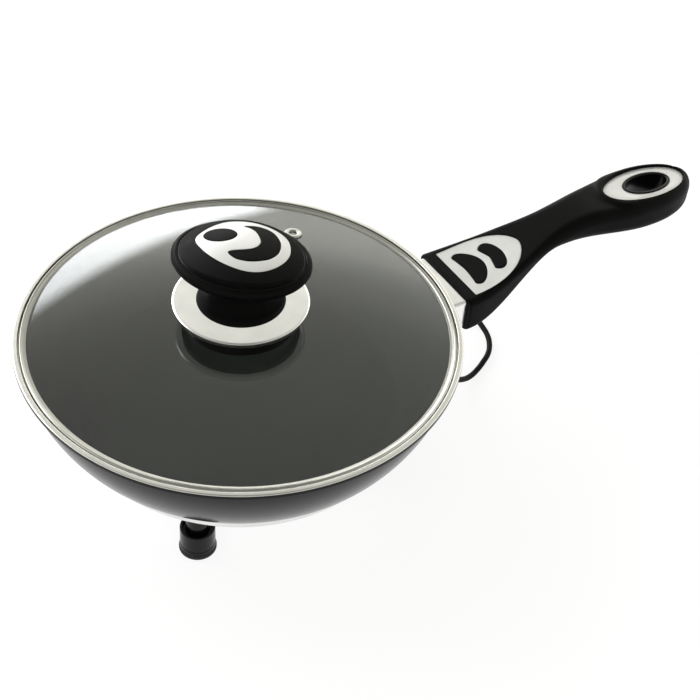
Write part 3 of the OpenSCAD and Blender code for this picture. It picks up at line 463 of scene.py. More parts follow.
plug_sleeve = add_piece("plug_sleeve", plug_sleeve_mesh, "skillet", "cord_black", "plug_relief")


# Plug
# A moulded black plug that widens from the sleeve to its flat face, with finger hollows in its sides. Two
# brass blades come out of the face.
plug_len = 30
plug_w = 26
plug_h = 14.4
plug_corner = 4
plug_rows = 32
blade_len = 16
blade_root = 2
blade_h = 6.3
blade_t = 1.5
blade_apart = 12.7
blade_tip = 2
blade_chamfer = 0.25


def plug_share(s):
    """Share of the plug's full width at a share of its length, with finger hollows and a soft edge."""
    hollow = 0.05 * math.exp(-((s - 0.62) / 0.12) ** 2)
    return 0.5 + 0.5 * ease(s, -0.05, 0.55) - hollow - 0.03 * ease(s, 0.95, 1)


plug_black = finish("plug_black", (0.014, 0.014, 0.014), 0.42, patch=10, grain=0.7, dent=0.04, gloss=0.4)
plug_rings = []
for i in range(plug_rows + 1):
    s = i / plug_rows
    share = plug_share(s)
    plug_rings.append([
        plug_place @ (Vector((plug_relief_len + plug_len * s, y, z)) * mm)
        for y, z in round_rect(plug_w / 2 * share, plug_h / 2 * share, plug_corner * share)
    ])
plug_shell = add_piece("plug_shell", lofted(plug_rings, plug_black), "skillet", "cord_black", "plug_body")


def blade_rings(outline, place):
    """Rings of a blade of an outline in X and Z, through its thickness along Y, with chamfered edges."""
    middle = sum((Vector(p) for p in outline), Vector((0, 0))) / len(outline)
    rings = []
    for side, depth, inset in ((-1, 0, 1), (-1, 1, 0), (1, 1, 0), (1, 0, 1)):
        ring = []
        for p in outline:
            inward = (middle - Vector(p)).normalized() * blade_chamfer * inset
            y = side * (blade_t / 2 - blade_chamfer * depth)
            ring.append(place @ (Vector((p[0] + inward.x, y, p[1] + inward.y)) * mm))
        rings.append(ring)
    return rings


blade_brass = finish(
    "blade_brass", (0.62, 0.45, 0.19), 0.3, patch=6, grain=0.4, metallic=1, stretch=(1, 1, 6)
)
blade_outline = [
    (-blade_root, -blade_h / 2), (blade_len - blade_tip, -blade_h / 2),
    (blade_len, -blade_h / 2 + blade_tip), (blade_len, blade_h / 2 - blade_tip),
    (blade_len - blade_tip, blade_h / 2), (-blade_root, blade_h / 2),
]
blade_shapes = bmesh.new()
for side in (-1, 1):
    offset = Vector((plug_relief_len + plug_len, side * blade_apart / 2, 0)) * mm
    rings = blade_rings(blade_outline, plug_place @ Matrix.Translation(offset))
    blade_shapes.from_mesh(lofted(rings, blade_brass, sharp=30))
blade_mesh = bpy.data.meshes.new("blades")
blade_shapes.to_mesh(blade_mesh)
blade_shapes.free()
blade_mesh = settled_mesh(blade_mesh, blade_brass, 30)
plug_pins = add_piece("plug_pins", blade_mesh, "skillet", "brass", "plug_blades")


# Pan
# One aluminium die casting with a full, rounded side. It has graphite enamel outside, a dark non-stick coat
# inside, and a lip and lid ledge turned bare after coating. The heating tube's groove is under its floor.
def round_size(node):
    """Radius, lowest and highest height of a round CAD node, in mm."""
    low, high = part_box(node)
    return (high.x - low.x) / 2 / mm, low.z / mm, high.z / mm


rim_r, _, rim_z = round_size("pan_body")
pan_depth = 52
base_z = rim_z - pan_depth
base_r = 93
lip_w = 2.8
lip_h = 3
lip_over = 2
ledge_z = rim_z - 3
ledge_r = rim_r - lip_w - 3.4
wall_t = 4
floor_z = base_z + 6
side_power = 1.56
side_fullness = 0.72
groove_r = 62
groove_half = 3.5


def side_share(t):
    """Share of the side's flare at a share of its depth below the lip."""
    return max(0, 1 - t ** side_power) ** side_fullness


def pan_side(low_r, high_r, low_z, depth, t_end, steps=40):
    """Side of the pan from its foot up."""
    points = []
    for i in range(steps + 1):
        t = 1 - (1 - t_end) * (i / steps) ** 2
        points.append((low_r + (high_r - low_r) * side_share(t), low_z + depth * (1 - t)))
    return points


def outer_r(z):
    """Radius of the pan's outside at a height."""
    return base_r + (rim_r - lip_over - base_r) * side_share((rim_z - z) / pan_depth)


outer_side = pan_side(base_r, rim_r - lip_over, base_z, pan_depth, lip_h / pan_depth)
inner_side = pan_side(base_r - wall_t, ledge_r, floor_z, ledge_z - floor_z, 0)
groove = [
    (groove_r - groove_half * math.cos(math.pi * i / 8), base_z + groove_half * math.sin(math.pi * i / 8))
    for i in range(9)
]
lip = soft_corners([
    (rim_r - lip_over, rim_z - lip_h, 0), (rim_r, rim_z - lip_h, 0.4), (rim_r, rim_z, 0.9),
    (rim_r - lip_w, rim_z, 0.4), (rim_r - lip_w, ledge_z, 0.3), (ledge_r, ledge_z, 0.5),
    (ledge_r - 1, ledge_z - 6, 0),
])
pan_outline = [(0, base_z)] + groove + outer_side + lip[1:-1] + inner_side[-4::-1] + [(0, floor_z)]

graphite_enamel = finish(
    "graphite_enamel", (0.003, 0.0028, 0.0034), 0.2, patch=40, grain=1.6, dent=0.004, gloss=0.18
)
bare_lip = finish(
    "bare_lip", (0.8, 0.79, 0.75), 0.25, tone=0.06, patch=14, grain=0.5, dent=0.002, metallic=1,
    stretch=(1, 1, 8),
)
non_stick = finish(
    "non_stick", (0.0095, 0.0115, 0.009), 0.6, tone=0.12, patch=35, grain=3, dent=0.0004, gloss=0.1
)
pan_place = Matrix.Translation(pan_middle)
pan_mesh = turned(pan_outline, graphite_enamel, pan_place, 256, sharp=30)
pan_mesh.materials.append(bare_lip)
pan_mesh.materials.append(non_stick)
for face in pan_mesh.polygons:
    out = Vector((face.center.x - pan_middle.x, face.center.y, 0)).length
    bare_from_z = ledge_z - 0.1 if out < (rim_r - lip_w + 0.3) * mm else rim_z - 0.6
    if out > (ledge_r + 0.3) * mm and face.center.z > bare_from_z * mm:
        face.material_index = 1
    elif face.normal.z > 0.001 and face.center.z > (floor_z - 0.5) * mm:
        face.material_index = 2
add_piece("pan", pan_mesh, "skillet", "pan_coating", "pan_body")


# Cover screw bosses
# Three short posts cast on the pan's underside. The cover under the pan is screwed to them.
boss_r = 4
boss_bore_r = 1.55
boss_h = 4.2
cover_screw_r = 40
cover_screw_turns = (60, 180, 300)


def make_setting_out():
    """Tree that sets a piece out on points, each turned at random about Z."""
    tree, sockets, output = new_tree(
        "setting_out", Places="Geometry", Piece="Object", Turn="Float", Seed="Int", Finish="Material"
    )
    source = add_node(tree, "GeometryNodeObjectInfo", {"Object": sockets["Piece"]}).outputs["Geometry"]
    chance = add_node(tree, "FunctionNodeRandomValue", {3: sockets["Turn"], "Seed": sockets["Seed"]})
    spin = add_node(tree, "ShaderNodeCombineXYZ", {"Z": chance.outputs[1]}).outputs["Vector"]
    inputs = {"Points": sockets["Places"], "Instance": source, "Rotation": spin}
    copies = add_node(tree, "GeometryNodeInstanceOnPoints", inputs).outputs["Instances"]
    return end_tree(tree, copies, sockets["Finish"], output)


setting_out = make_setting_out()


def set_out(mesh, places, material, turn=0.0, seed=1, sharp=40):
    """One mesh of copies of a shape at places in mm from the pan's axis."""
    pattern = put("pattern", mesh)
    spots = bpy.data.meshes.new("spots")
    spots.from_pydata([from_pan(*place) for place in places], [], [])
    made = run_tree(setting_out, spots, Piece=pattern, Turn=turn, Seed=seed, Finish=material)
    bpy.data.objects.remove(pattern)
    return settled_mesh(made, material, sharp)


def on_circle(r, turns, z):
    return [(r * math.cos(math.radians(a)), r * math.sin(math.radians(a)), z) for a in turns]


cast_metal = finish("cast_metal", (0.45, 0.45, 0.44), 0.5, patch=10, grain=0.8, dent=0.05, metallic=1)
boss_shape = turned(soft_corners([
    (boss_bore_r, 0, 0), (boss_r, 0, 0.4), (boss_r, boss_h, 0), (boss_bore_r, boss_h, 0),
]), cast_metal)
boss_places = on_circle(cover_screw_r, cover_screw_turns, base_z - boss_h + 0.05)
add_piece("pan_bosses", set_out(boss_shape, boss_places, cast_metal), "skillet", "pan_coating")


# Heating parts
# A bent tube heater lies in the groove under the floor, with a thermostat pressed to the floor, a fuse in
# its lead and a fired-clay terminal block. They keep their solids, with finishes of their own.
def dress(material, *nodes):
    """Gives CAD nodes a finish."""
    for name in nodes:
        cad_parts[name].material_slots[0].material = material


dress(
    finish("heater_tube", (0.2, 0.19, 0.17), 0.45, tone=0.35, patch=9, grain=0.6, dent=0.03, metallic=1),
    "heating_element",
)
dress(
    finish("fired_clay", (0.72, 0.69, 0.62), 0.7, tone=0.08, patch=6, grain=0.6, dent=0.05, gloss=0.3),
    "thermostat", "terminal_block",
)
dress(
    finish("fuse_case", (0.6, 0.46, 0.22), 0.35, tone=0.12, patch=5, grain=0.5, dent=0.02, metallic=1),
    "thermal_fuse",
)
dress(
    finish("braided_sleeve", (0.3, 0.16, 0.1), 0.8, tone=0.25, patch=2, grain=0.5, dent=0.15, gloss=0.2),
    "supply_leads", "element_leads",
)


# Base cover
# A round tray pressed from bright aluminium sheet, with a shallow stiffening ring. It closes the heater's
# room under the pan, its wall laps the pan's foot, and three screws hold it.
cover_r, cover_z, cover_top_z = round_size("base_cover")
cover_t = 0.8
cover_ring = (66, 74)
cover_press = 0.5

bright_sheet = finish(
    "bright_sheet", (0.8, 0.8, 0.79), 0.22, tone=0.05, patch=25, grain=0.6, dent=0.002, metallic=1,
    stretch=(6, 1, 1),
)
cover_under = [
    (cover_ring[0] - 1, cover_z, 0.8), (cover_ring[0], cover_z + cover_press, 0.6),
    (cover_ring[1], cover_z + cover_press, 0.6), (cover_ring[1] + 1, cover_z, 0.8),
]
cover_outline = soft_corners(
    [(0, cover_z, 0)] + cover_under
    + [(cover_r, cover_z, 1.8), (cover_r, cover_top_z, 0.25), (cover_r - cover_t, cover_top_z, 0.25)]
    + [(cover_r - cover_t, cover_z + cover_t, 1.2)]
    + [(r, z + cover_t, fillet) for r, z, fillet in reversed(cover_under)]
    + [(0, cover_z + cover_t, 0)]
)
cover_mesh = turned(cover_outline, bright_sheet, pan_place, 192)
add_piece("under_cover", cover_mesh, "skillet", "base_sheet", "base_cover")


# Screws in the base
# Zinc-plated pan-head screws with cross recesses. Three hold the cover to the pan, and one in each foot's
# well goes up into a nut on the cover.
zinc_plate = finish("zinc_plate", (0.55, 0.55, 0.53), 0.3, patch=3, grain=0.4, dent=0.012, metallic=1)


def cut_away(body, tool, material, sharp=40):
    """Mesh of a body with the tool's shape taken out of it."""
    whole = put("whole", body)
    cutter = put("cutter", tool)
    cut = whole.modifiers.new("cut", "BOOLEAN")
    cut.operation = "DIFFERENCE"
    cut.solver = "EXACT"
    cut.object = cutter
    made = plain_mesh(whole)
    bpy.data.objects.remove(cutter)
    return settled_mesh(made, material, sharp)


def cross_head(head_r, head_t, shank_r, shank_len):
    """Screw that points up, with its head below its origin and a cross recess in the head."""
    body = turned(soft_corners([
        (0, shank_len, 0), (shank_r, shank_len, 0.3), (shank_r, 0, 0), (head_r, 0, 0.15),
        (head_r, -0.55 * head_t, 0.3 * head_t), (0.7 * head_r, -head_t, 0.2 * head_r), (0, -head_t, 0),
    ]), zinc_plate, steps=32)
    long = 0.62 * head_r
    thin = 0.16 * head_r
    cross = [
        (long, -thin), (long, thin), (thin, thin), (thin, long), (-thin, long), (-thin, thin),
        (-long, thin), (-long, -thin), (-thin, -thin), (-thin, -long), (thin, -long), (thin, -thin),
    ]
    recess = lofted([
        [Vector((x * share, y * share, z)) * mm for x, y in cross]
        for share, z in ((1.1, -1.2 * head_t), (0.7, -0.4 * head_t))
    ], zinc_plate)
    return cut_away(body, recess, zinc_plate)


def add_screws(name, screw, places, seed, body, node):
    """Piece of like screws, each turned as it came to rest when driven in."""
    made = set_out(screw, places, zinc_plate, math.pi, seed)
    return add_piece(name, made, body, "fastener_steel", node)


foot_names = ("front_left", "front_right", "rear_left", "rear_right")
foot_boxes = [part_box("foot_" + name) for name in foot_names]
foot_head_z = 20.15


def under_feet(z):
    """Places on the feet's axes at a height."""
    middles = [(low + high) / 2 - pan_middle for low, high in foot_boxes]
    return [(middle.x / mm, middle.y / mm, z) for middle in middles]


cover_screw_places = on_circle(cover_screw_r, cover_screw_turns, cover_z)
cover_screw = cross_head(3, 1.3, 1.5, 6)
add_screws("cover_fixings", cover_screw, cover_screw_places, 3, "skillet", "cover_screws")
foot_screw = cross_head(3.6, 2.6, 2, 14.9)
add_screws("foot_fixings", foot_screw, under_feet(foot_head_z), 5, "skillet", "foot_screws")
dress(zinc_plate, "foot_nuts")


# Feet
# Four glossy black mouldings, each a cup with a narrower neck up to the cover. A soft rubber pad, a little
# wider than the cup, is pressed on below.
pad_t = 3
pad_r = 10.3
foot_r = 9.8
shoulder_r = 9.6
shoulder_z = 17
shoulder_dip = 2.4
foot_neck_r = 6.5
foot_well_r = 4.2
foot_bore_r = 2.05
foot_top_z = foot_boxes[0][1].z / mm

gloss_black = finish(
    "gloss_black", (0.0016, 0.0016, 0.0017), 0.18, patch=9, grain=1.5, dent=0.004, gloss=0.2
)
foot_shape = turned(soft_corners([
    (foot_well_r, pad_t, 0), (foot_r, pad_t, 0.3), (foot_r - 0.05, 5, 0.2), (foot_r - 0.35, 5.3, 0.2),
    (foot_r - 0.35, 6, 0.2), (foot_r - 0.1, 6.3, 0.2), (shoulder_r, shoulder_z, 0.7),
    (shoulder_r - 1.5, shoulder_z, 0.4), (shoulder_r - 1.7, shoulder_z - shoulder_dip, 0.5),
    (foot_neck_r, shoulder_z - shoulder_dip, 0.5), (foot_neck_r, foot_top_z, 0.2),
    (foot_bore_r, foot_top_z, 0), (foot_bore_r, foot_head_z, 0), (foot_well_r, foot_head_z, 0),
]), gloss_black, steps=64)
feet_mesh = set_out(foot_shape, under_feet(0), gloss_black)
add_piece("feet", feet_mesh, "skillet", "gloss_black", *("foot_" + name for name in foot_names))
pad_rubber = finish(
    "pad_rubber", (0.012, 0.012, 0.012), 0.6, tone=0.15, patch=5, grain=0.7, dent=0.06, gloss=0.35
)
pad_shape = turned(soft_corners([
    (foot_well_r, 0, 0.2), (5.6, 0, 0.1), (5.8, 0.4, 0.1), (6.6, 0.4, 0.1), (6.8, 0, 0.1), (pad_r, 0, 0.8),
    (pad_r, pad_t - 0.9, 0.3), (pad_r - 0.35, pad_t - 0.7, 0.15), (pad_r - 0.35, pad_t, 0.2),
    (foot_well_r, pad_t, 0),
]), pad_rubber, steps=64)
pads_mesh = set_out(pad_shape, under_feet(0), pad_rubber)
add_piece("foot_pads", pads_mesh, "skillet", "pad_rubber", *("pad_" + name for name in foot_names))


# Terminal housing
# A black moulded tray under the cover that closes in the terminals and holds the cord's outlet. Two screws
# from below go through its posts into the cover.
housing_low, housing_high = (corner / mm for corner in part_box("terminal_housing"))
housing_middle = (housing_low + housing_high) / 2
housing_half = (housing_high - housing_low) / 2
housing_t = 1.6
housing_corner = 6
housing_screw_inset = 8


def housing_ring(inset, z):
    """Ring of the tray, drawn in from its outline."""
    corner = max(0.5, housing_corner - inset)
    around = round_rect(housing_half.x - inset, housing_half.y - inset, corner)
    return [Vector((housing_middle.x + x, housing_middle.y + y, z)) * mm for x, y in around]


housing_black = finish(
    "housing_black", (0.011, 0.011, 0.011), 0.5, tone=0.15, patch=12, grain=0.6, dent=0.05, gloss=0.35
)
tray_z, edge_z = housing_low.z, housing_high.z
housing_rows = [
    (housing_t + 2, tray_z + housing_t), (housing_t + 0.3, tray_z + housing_t + 0.8),
    (housing_t, tray_z + 4), (housing_t, edge_z), (0.2, edge_z), (0, edge_z - 0.2), (0, tray_z + 2.2),
    (0.25, tray_z + 1.2), (0.8, tray_z + 0.5), (1.6, tray_z + 0.1), (2.6, tray_z),
]
housing_mesh = lofted([housing_ring(*row) for row in housing_rows], housing_black, sharp=45)
add_piece("housing", housing_mesh, "skillet", "gloss_black", "terminal_housing")
housing_screw = cross_head(3, 1.3, 1.5, 18.8)
housing_screw_x = housing_low.x + housing_screw_inset - pan_middle.x / mm
housing_screw_y = housing_half.y - housing_screw_inset
housing_screw_places = [(housing_screw_x, side * housing_screw_y, tray_z) for side in (-1, 1)]
add_screws("housing_fixings", housing_screw, housing_screw_places, 9, "skillet", "housing_screws")


# Handle bracket and ferrule
# A zinc-plated steel bracket on the pan's side carries the handle's rod. A collar bent from bright sheet,
# with crisp corners, hides it between the pan and the handle.
ferrule_half_w = 24
ferrule_half_h = 10
ferrule_t = 1.2
ferrule_corner = 2.2
ferrule_z = 62.5
handle_low, handle_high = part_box("handle_body")
handle_x = handle_low.x / mm - pan_middle.x / mm

dress(zinc_plate, "handle_bracket")


def ferrule_ring(inset, x):
    """Ring of the collar; x None is where it meets the pan's side."""
    ring = []
    corner = ferrule_corner - min(inset, ferrule_t)
    for y, h in round_rect(ferrule_half_w - inset, ferrule_half_h - inset, corner, 5):
        z = ferrule_z + h
        end = math.sqrt((outer_r(z) + 0.05) ** 2 - y * y) if x is None else x
        ring.append(from_pan(end, y, z))
    return ring


bright_trim = finish(
    "bright_trim", (0.92, 0.915, 0.895), 0.2, tone=0.05, patch=12, grain=0.5, dent=0.001, metallic=1
)
ferrule_mesh = lofted([
    ferrule_ring(0, None), ferrule_ring(0, handle_x - 0.3), ferrule_ring(0.3, handle_x),
    ferrule_ring(ferrule_t, handle_x), ferrule_ring(ferrule_t, None),
], bright_trim, closed=True, sharp=30)
add_piece("collar", ferrule_mesh, "skillet", "bright_trim", "ferrule")


# Handle
# One soft black heat-proof moulding. It flares to the collar, narrows to a waist and swells to an oval end
# with a raised rim. A screw from below locks it on the bracket's rod.
handle_len = handle_high.x / mm - handle_low.x / mm
root_half_w = 27
waist_half_w = 15
end_half_w = 21
root_top_z = 74
handle_rise = 22.9
root_low_z = 51
waist_lift = 28.4
end_sag = 2.9
narrowing = (3, 78)
swelling = (84, 142)
rising = (1, 106)
lifting = (1, 73)
root_round_r = 4
end_round_r = 7
rounding = (45, 85)
root_soft = 0.5
end_step = 1.6
tip_from = handle_len - 40
rear_u = handle_len - 36.5
crease = (34.5, 23)
crease_soft = 2.5
hole_u = rear_u + 2.3
hole_oval = (18, 10)
hole_through = (60, 110)
lock_u = 15
lock_well_r = 4.3
lock_well = (40, 60)
handle_rows = 110
tip_rows = 40


def handle_half_w(u):
    narrow = (waist_half_w - root_half_w) * ease(u, *narrowing)
    return root_half_w + narrow + (end_half_w - waist_half_w) * ease(u, *swelling)


def handle_top(u):
    return root_top_z + handle_rise * ease(u, *rising)


def handle_low_z(u):
    return root_low_z + waist_lift * ease(u, *lifting) - end_sag * ease(u, *swelling)


def tip_share(u, shorter):
    """Share of the width left in the rounded tip, for an outline drawn in by a length."""
    s = max(0, u - tip_from) / (handle_len - tip_from - shorter)
    return math.sqrt(max(0, 1 - s * s))


def rim_lift(u, y):
    """Height of the raised end above the handle's top, behind a curved crease."""
    start = rear_u - crease[0] * math.sqrt(max(0, 1 - (y / crease[1]) ** 2))
    return end_step * ease(u, start - crease_soft, start + crease_soft)


def handle_ring(u, flat=10, bend=10, side=4):
    """Ring of the handle at a distance from its root: flat top and bottom with elliptic corners."""
    w = handle_half_w(u) * tip_share(u, 0)
    corner = root_round_r + (end_round_r - root_round_r) * ease(u, *rounding)
    w_in = max(0, handle_half_w(u) - corner) * tip_share(u, corner)
    drop = corner - math.sqrt(max(0, corner ** 2 - max(0, u - handle_len + corner) ** 2))
    top, low = handle_top(u), handle_low_z(u)
    a, b = w - w_in, corner - drop
    quarter = [math.pi / 2 * i / bend for i in range(bend)]
    half = [(w_in * i / flat, top - drop) for i in range(flat)]
    half += [(w_in + a * math.sin(turn), top - drop - b + b * math.cos(turn)) for turn in quarter]
    half += [(w, top - corner + (low - top + 2 * corner) * i / side) for i in range(side)]
    half += [(w_in + a * math.cos(turn), low + drop + b - b * math.sin(turn)) for turn in quarter]
    half += [(w_in * (1 - i / flat), low + drop) for i in range(flat + 1)]
    middle = (top + low) / 2
    lifted = [(y, z + rim_lift(u, y) * ease(z, middle, top)) for y, z in half]
    around = lifted + [(-y, z) for y, z in reversed(lifted[1:-1])]
    return [from_pan(handle_x + u, y, z) for y, z in around]


def root_edge(ring, u):
    """Draws the first rings in a little, so that the root's edge is soft."""
    inset = root_soft * (1 - min(1, u))
    middle = sum(ring, Vector()) / len(ring)
    return [p + (middle - p).normalized() * inset * mm for p in ring]


def on_handle(u):
    """Place on the handle's line at a distance from its root."""
    return Matrix.Translation(from_pan(handle_x + u, 0, 0))


def oval(half_a, half_b, steps=72, middle=(0, 0), turn=0.0):
    """Points of a turned oval."""
    points = []
    for i in range(steps):
        x = half_a * math.cos(math.tau * i / steps)
        y = half_b * math.sin(math.tau * i / steps)
        points.append(Vector((
            middle[0] + x * math.cos(turn) - y * math.sin(turn),
            middle[1] + x * math.sin(turn) + y * math.cos(turn),
        )))
    return points


def oval_loft(rows, half_a, half_b, material, place, closed=False, steps=96, sharp=40):
    """Loft of ovals from rows of (inset, height)."""
    rings = [
        [place @ (Vector((p.x, p.y, z)) * mm) for p in oval(half_a - inset, half_b - inset, steps)]
        for inset, z in rows
    ]
    return lofted(rings, material, closed, sharp)


def out_of_handle(mesh, tool):
    return cut_away(mesh, tool, soft_black, 50)


soft_black = finish("soft_black", (0.002, 0.002, 0.002), 0.48, patch=22, grain=0.55, dent=0.006, gloss=0.06)
handle_us = [0, 0.35, 1]
handle_us += [1 + (tip_from - 1) * i / handle_rows for i in range(1, handle_rows + 1)]
tip_turns = [math.pi / 2 * i / tip_rows for i in range(1, tip_rows + 1)]
handle_us += [tip_from + (handle_len - tip_from) * math.sin(turn) for turn in tip_turns]
handle_whole = lofted([root_edge(handle_ring(u), u) for u in handle_us], soft_black, sharp=50)
hole_tool = oval_loft([(0, z) for z in hole_through], *hole_oval, soft_black, on_handle(hole_u), steps=64)
well_tool = oval_loft(
    [(0, z) for z in lock_well], lock_well_r, lock_well_r, soft_black, on_handle(lock_u), steps=32
)
handle_mesh = out_of_handle(out_of_handle(handle_whole.copy(), hole_tool), well_tool)
dress(zinc_plate, "handle_screw")


# Handle inlays
# Two plates stamped from bright satin sheet and glued into sunk beds: one with a straight end by the collar
# and two windows, one oval round the hanging hole. Pads of the handle's own black fill the windows.
front_u = 7
front_len = 45
front_half = 22
front_sink = 0.9
front_steps = 24
nose_power = 2.9
nose_fullness = 0.6
front_windows = [
    [(6.2, 13.5), (9.5, 15.2), (14, 12.8), (18.4, 6.8), (20, 0), (18.4, -6.8), (14, -12.8), (9.5, -15.2),
     (6.2, -13.5), (6.6, -9), (7.4, 0), (6.6, 9)],
    [(22.6, 9.8), (25.9, 12.4), (29.6, 11), (32.2, 6.4), (33.3, 0), (32.2, -6.4), (29.6, -11),
     (25.9, -12.4), (22.6, -9.8), (23.4, -5.5), (24.6, 0), (23.4, 5.5)],
]
rear_oval = (30.5, 15)
rear_sink = 2.3
rear_z = root_top_z + handle_rise + end_step - rear_sink
plate_bed = 1.0
plate_proud = 0.3
plate_edge = 0.25
pad_gap = 0.2
pad_edge = 0.5
pad_proud = 0.5
bed_gap = 0.15
bed_top = 4
bed_edge = 0.1


def closed_curve(points, steps=6):
    """Smooth closed curve through points."""
    curve = []
    count = len(points)
    for i in range(count):
        a, b, c, d = (Vector(points[(i + k) % count]) for k in (-1, 0, 1, 2))
        for step in range(steps):
            s = step / steps
            curve.append(
                b + (c - a) * s / 2 + (2 * a - 5 * b + 4 * c - d) * s ** 2 / 2
                + (3 * b - a - 3 * c + d) * s ** 3 / 2
            )
    return curve


def make_laying():
    """Tree that drops a flat piece on a surface: its heights become heights over the surface below it."""
    tree, sockets, output = new_tree("laying", Flat="Geometry", Surface="Object", Finish="Material")
    place = add_node(tree, "GeometryNodeInputPosition").outputs["Position"]
    split = add_node(tree, "ShaderNodeSeparateXYZ", {"Vector": place}).outputs
    level = {"X": split["X"], "Y": split["Y"]}
    above = add_node(tree, "ShaderNodeCombineXYZ", {**level, "Z": 1}).outputs["Vector"]
    ground = add_node(tree, "GeometryNodeObjectInfo", {"Object": sockets["Surface"]}).outputs["Geometry"]
    ray = add_node(tree, "GeometryNodeRaycast", {
        "Target Geometry": ground, "Source Position": above, "Ray Direction": (0, 0, -1), "Ray Length": 2,
    })
    hit = add_node(tree, "ShaderNodeSeparateXYZ", {"Vector": ray.outputs["Hit Position"]}).outputs
    height = maths(tree, "ADD", hit["Z"], split["Z"])
    moved = add_node(tree, "ShaderNodeCombineXYZ", {**level, "Z": height}).outputs["Vector"]
    move = add_node(tree, "GeometryNodeSetPosition", {"Geometry": sockets["Flat"], "Position": moved})
    return end_tree(tree, move.outputs["Geometry"], sockets["Finish"], output)


laying = make_laying()


def stamped(outlines, low, high, edge, material, place, surface=None, cell=1.5):
    """Plate of flat outlines in mm with a rounded edge; over a surface it is cut in cells and laid on."""
    curve = bpy.data.curves.new("sheet", "CURVE")
    curve.dimensions = "2D"
    curve.fill_mode = "BOTH"
    curve.extrude = (high - low) / 2 * mm - edge * mm
    curve.bevel_depth = edge * mm
    curve.bevel_resolution = 2
    curve.offset = -edge * mm
    for outline in outlines:
        spline = curve.splines.new("POLY")
        spline.points.add(len(outline) - 1)
        spline.use_cyclic_u = True
        for knot, p in zip(spline.points, outline):
            knot.co = (p[0] * mm, p[1] * mm, 0, 1)
    flat = plain_mesh(put("sheet", curve))
    flat.transform(place @ Matrix.Translation((0, 0, (low + high) / 2 * mm)))
    shape = bmesh.new()
    shape.from_mesh(flat)
    bmesh.ops.remove_doubles(shape, verts=shape.verts, dist=1e-6)
    for axis in (0, 1) if surface else ():
        spread = [v.co[axis] for v in shape.verts]
        cut = min(spread) + cell * mm
        while cut < max(spread):
            at, facing = Vector(), Vector()
            at[axis], facing[axis] = cut, 1
            whole = shape.verts[:] + shape.edges[:] + shape.faces[:]
            bmesh.ops.bisect_plane(shape, geom=whole, plane_co=at, plane_no=facing, dist=1e-7)
            cut += cell * mm
    shape.to_mesh(flat)
    shape.free()
    if surface:
        flat = run_tree(laying, flat, Surface=surface, Finish=material)
    return settled_mesh(flat, material, 25)


def drawn_in(outline, by):
    """Outline moved in by a length, or out where it is negative, along its own normals."""
    area = sum(a[0] * b[1] - b[0] * a[1] for a, b in zip(outline, outline[1:] + outline[:1]))
    way = 1 if area > 0 else -1
    moved = []
    for i, p in enumerate(outline):
        along = Vector(outline[(i + 1) % len(outline)]) - Vector(outline[i - 1])
        moved.append(Vector(p) + way * by * Vector((-along.y, along.x)).normalized())
    return moved


satin_plate = finish(
    "satin_plate", (0.7, 0.695, 0.68), 0.42, tone=0.04, patch=10, grain=0.4, dent=0.0015, metallic=0.5,
    stretch=(1, 5, 1),
)
front_edge = []
for side in (-1, 1):
    for i in range(front_steps + 1):
        s = math.sin(math.pi / 2 * (i if side < 0 else front_steps - i) / front_steps)
        front_edge.append((front_len * s, side * front_half * max(0, 1 - s ** nose_power) ** nose_fullness))
front_edge.pop(front_steps)
window_curves = [closed_curve(points) for points in front_windows]
front_place = on_handle(front_u)
ground = put("ground", handle_whole)
front_low = -plate_bed - front_sink
front_high = plate_proud - front_sink
front_plate = stamped(
    [front_edge] + window_curves, front_low, front_high, plate_edge, satin_plate, front_place, ground
)
add_piece("front_plate", front_plate, "skillet", "bright_trim", "front_inlay")
window_pads = stamped(
    [drawn_in(curve, pad_gap) for curve in window_curves], front_low, front_high + pad_proud, pad_edge,
    soft_black, front_place, ground,
)
add_piece("window_pads", window_pads, "skillet", "grip_black")
front_bed = stamped(
    [drawn_in(front_edge, -bed_gap)], front_low, bed_top, bed_edge, soft_black, front_place, ground, cell=4
)
bpy.data.objects.remove(ground)
rear_place = on_handle(rear_u)
rear_outlines = [oval(*rear_oval), oval(*hole_oval, middle=(hole_u - rear_u, 0))]
rear_plate = stamped(
    rear_outlines, rear_z - plate_bed, rear_z + plate_proud, plate_edge, satin_plate, rear_place
)
add_piece("rear_plate", rear_plate, "skillet", "bright_trim", "rear_inlay")
rear_top = rear_z + rear_sink
rear_bed = oval_loft([
    (-bed_gap, rear_z - plate_bed), (-bed_gap, rear_top - 1), (-0.4, rear_top - 0.5),
    (-1.2, rear_top - 0.05), (-3, rear_top + 0.6),
], *rear_oval, soft_black, rear_place)
handle_mesh = out_of_handle(out_of_handle(handle_mesh, front_bed), rear_bed)
add_piece("handle", handle_mesh, "skillet", "grip_black", "handle_body")


# Hanging sleeve
# A glossy black liner through the oval end, with a rounded lip that stands a little above the oval plate.
sleeve_t = 2.3
sleeve_gap = 0.05
sleeve_low_z = 76.5
sleeve_high_z = rear_z + 2 * plate_proud + 0.3
sleeve_rows = soft_corners([
    (sleeve_gap, sleeve_low_z, 0.3), (sleeve_gap, sleeve_high_z, 0.7), (sleeve_t, sleeve_high_z, 1.1),
    (sleeve_t, sleeve_low_z, 1),
], 6)
sleeve_mesh = oval_loft(sleeve_rows, *hole_oval, gloss_black, on_handle(hole_u), closed=True, sharp=60)
add_piece("hole_liner", sleeve_mesh, "skillet", "gloss_black", "hanging_sleeve")


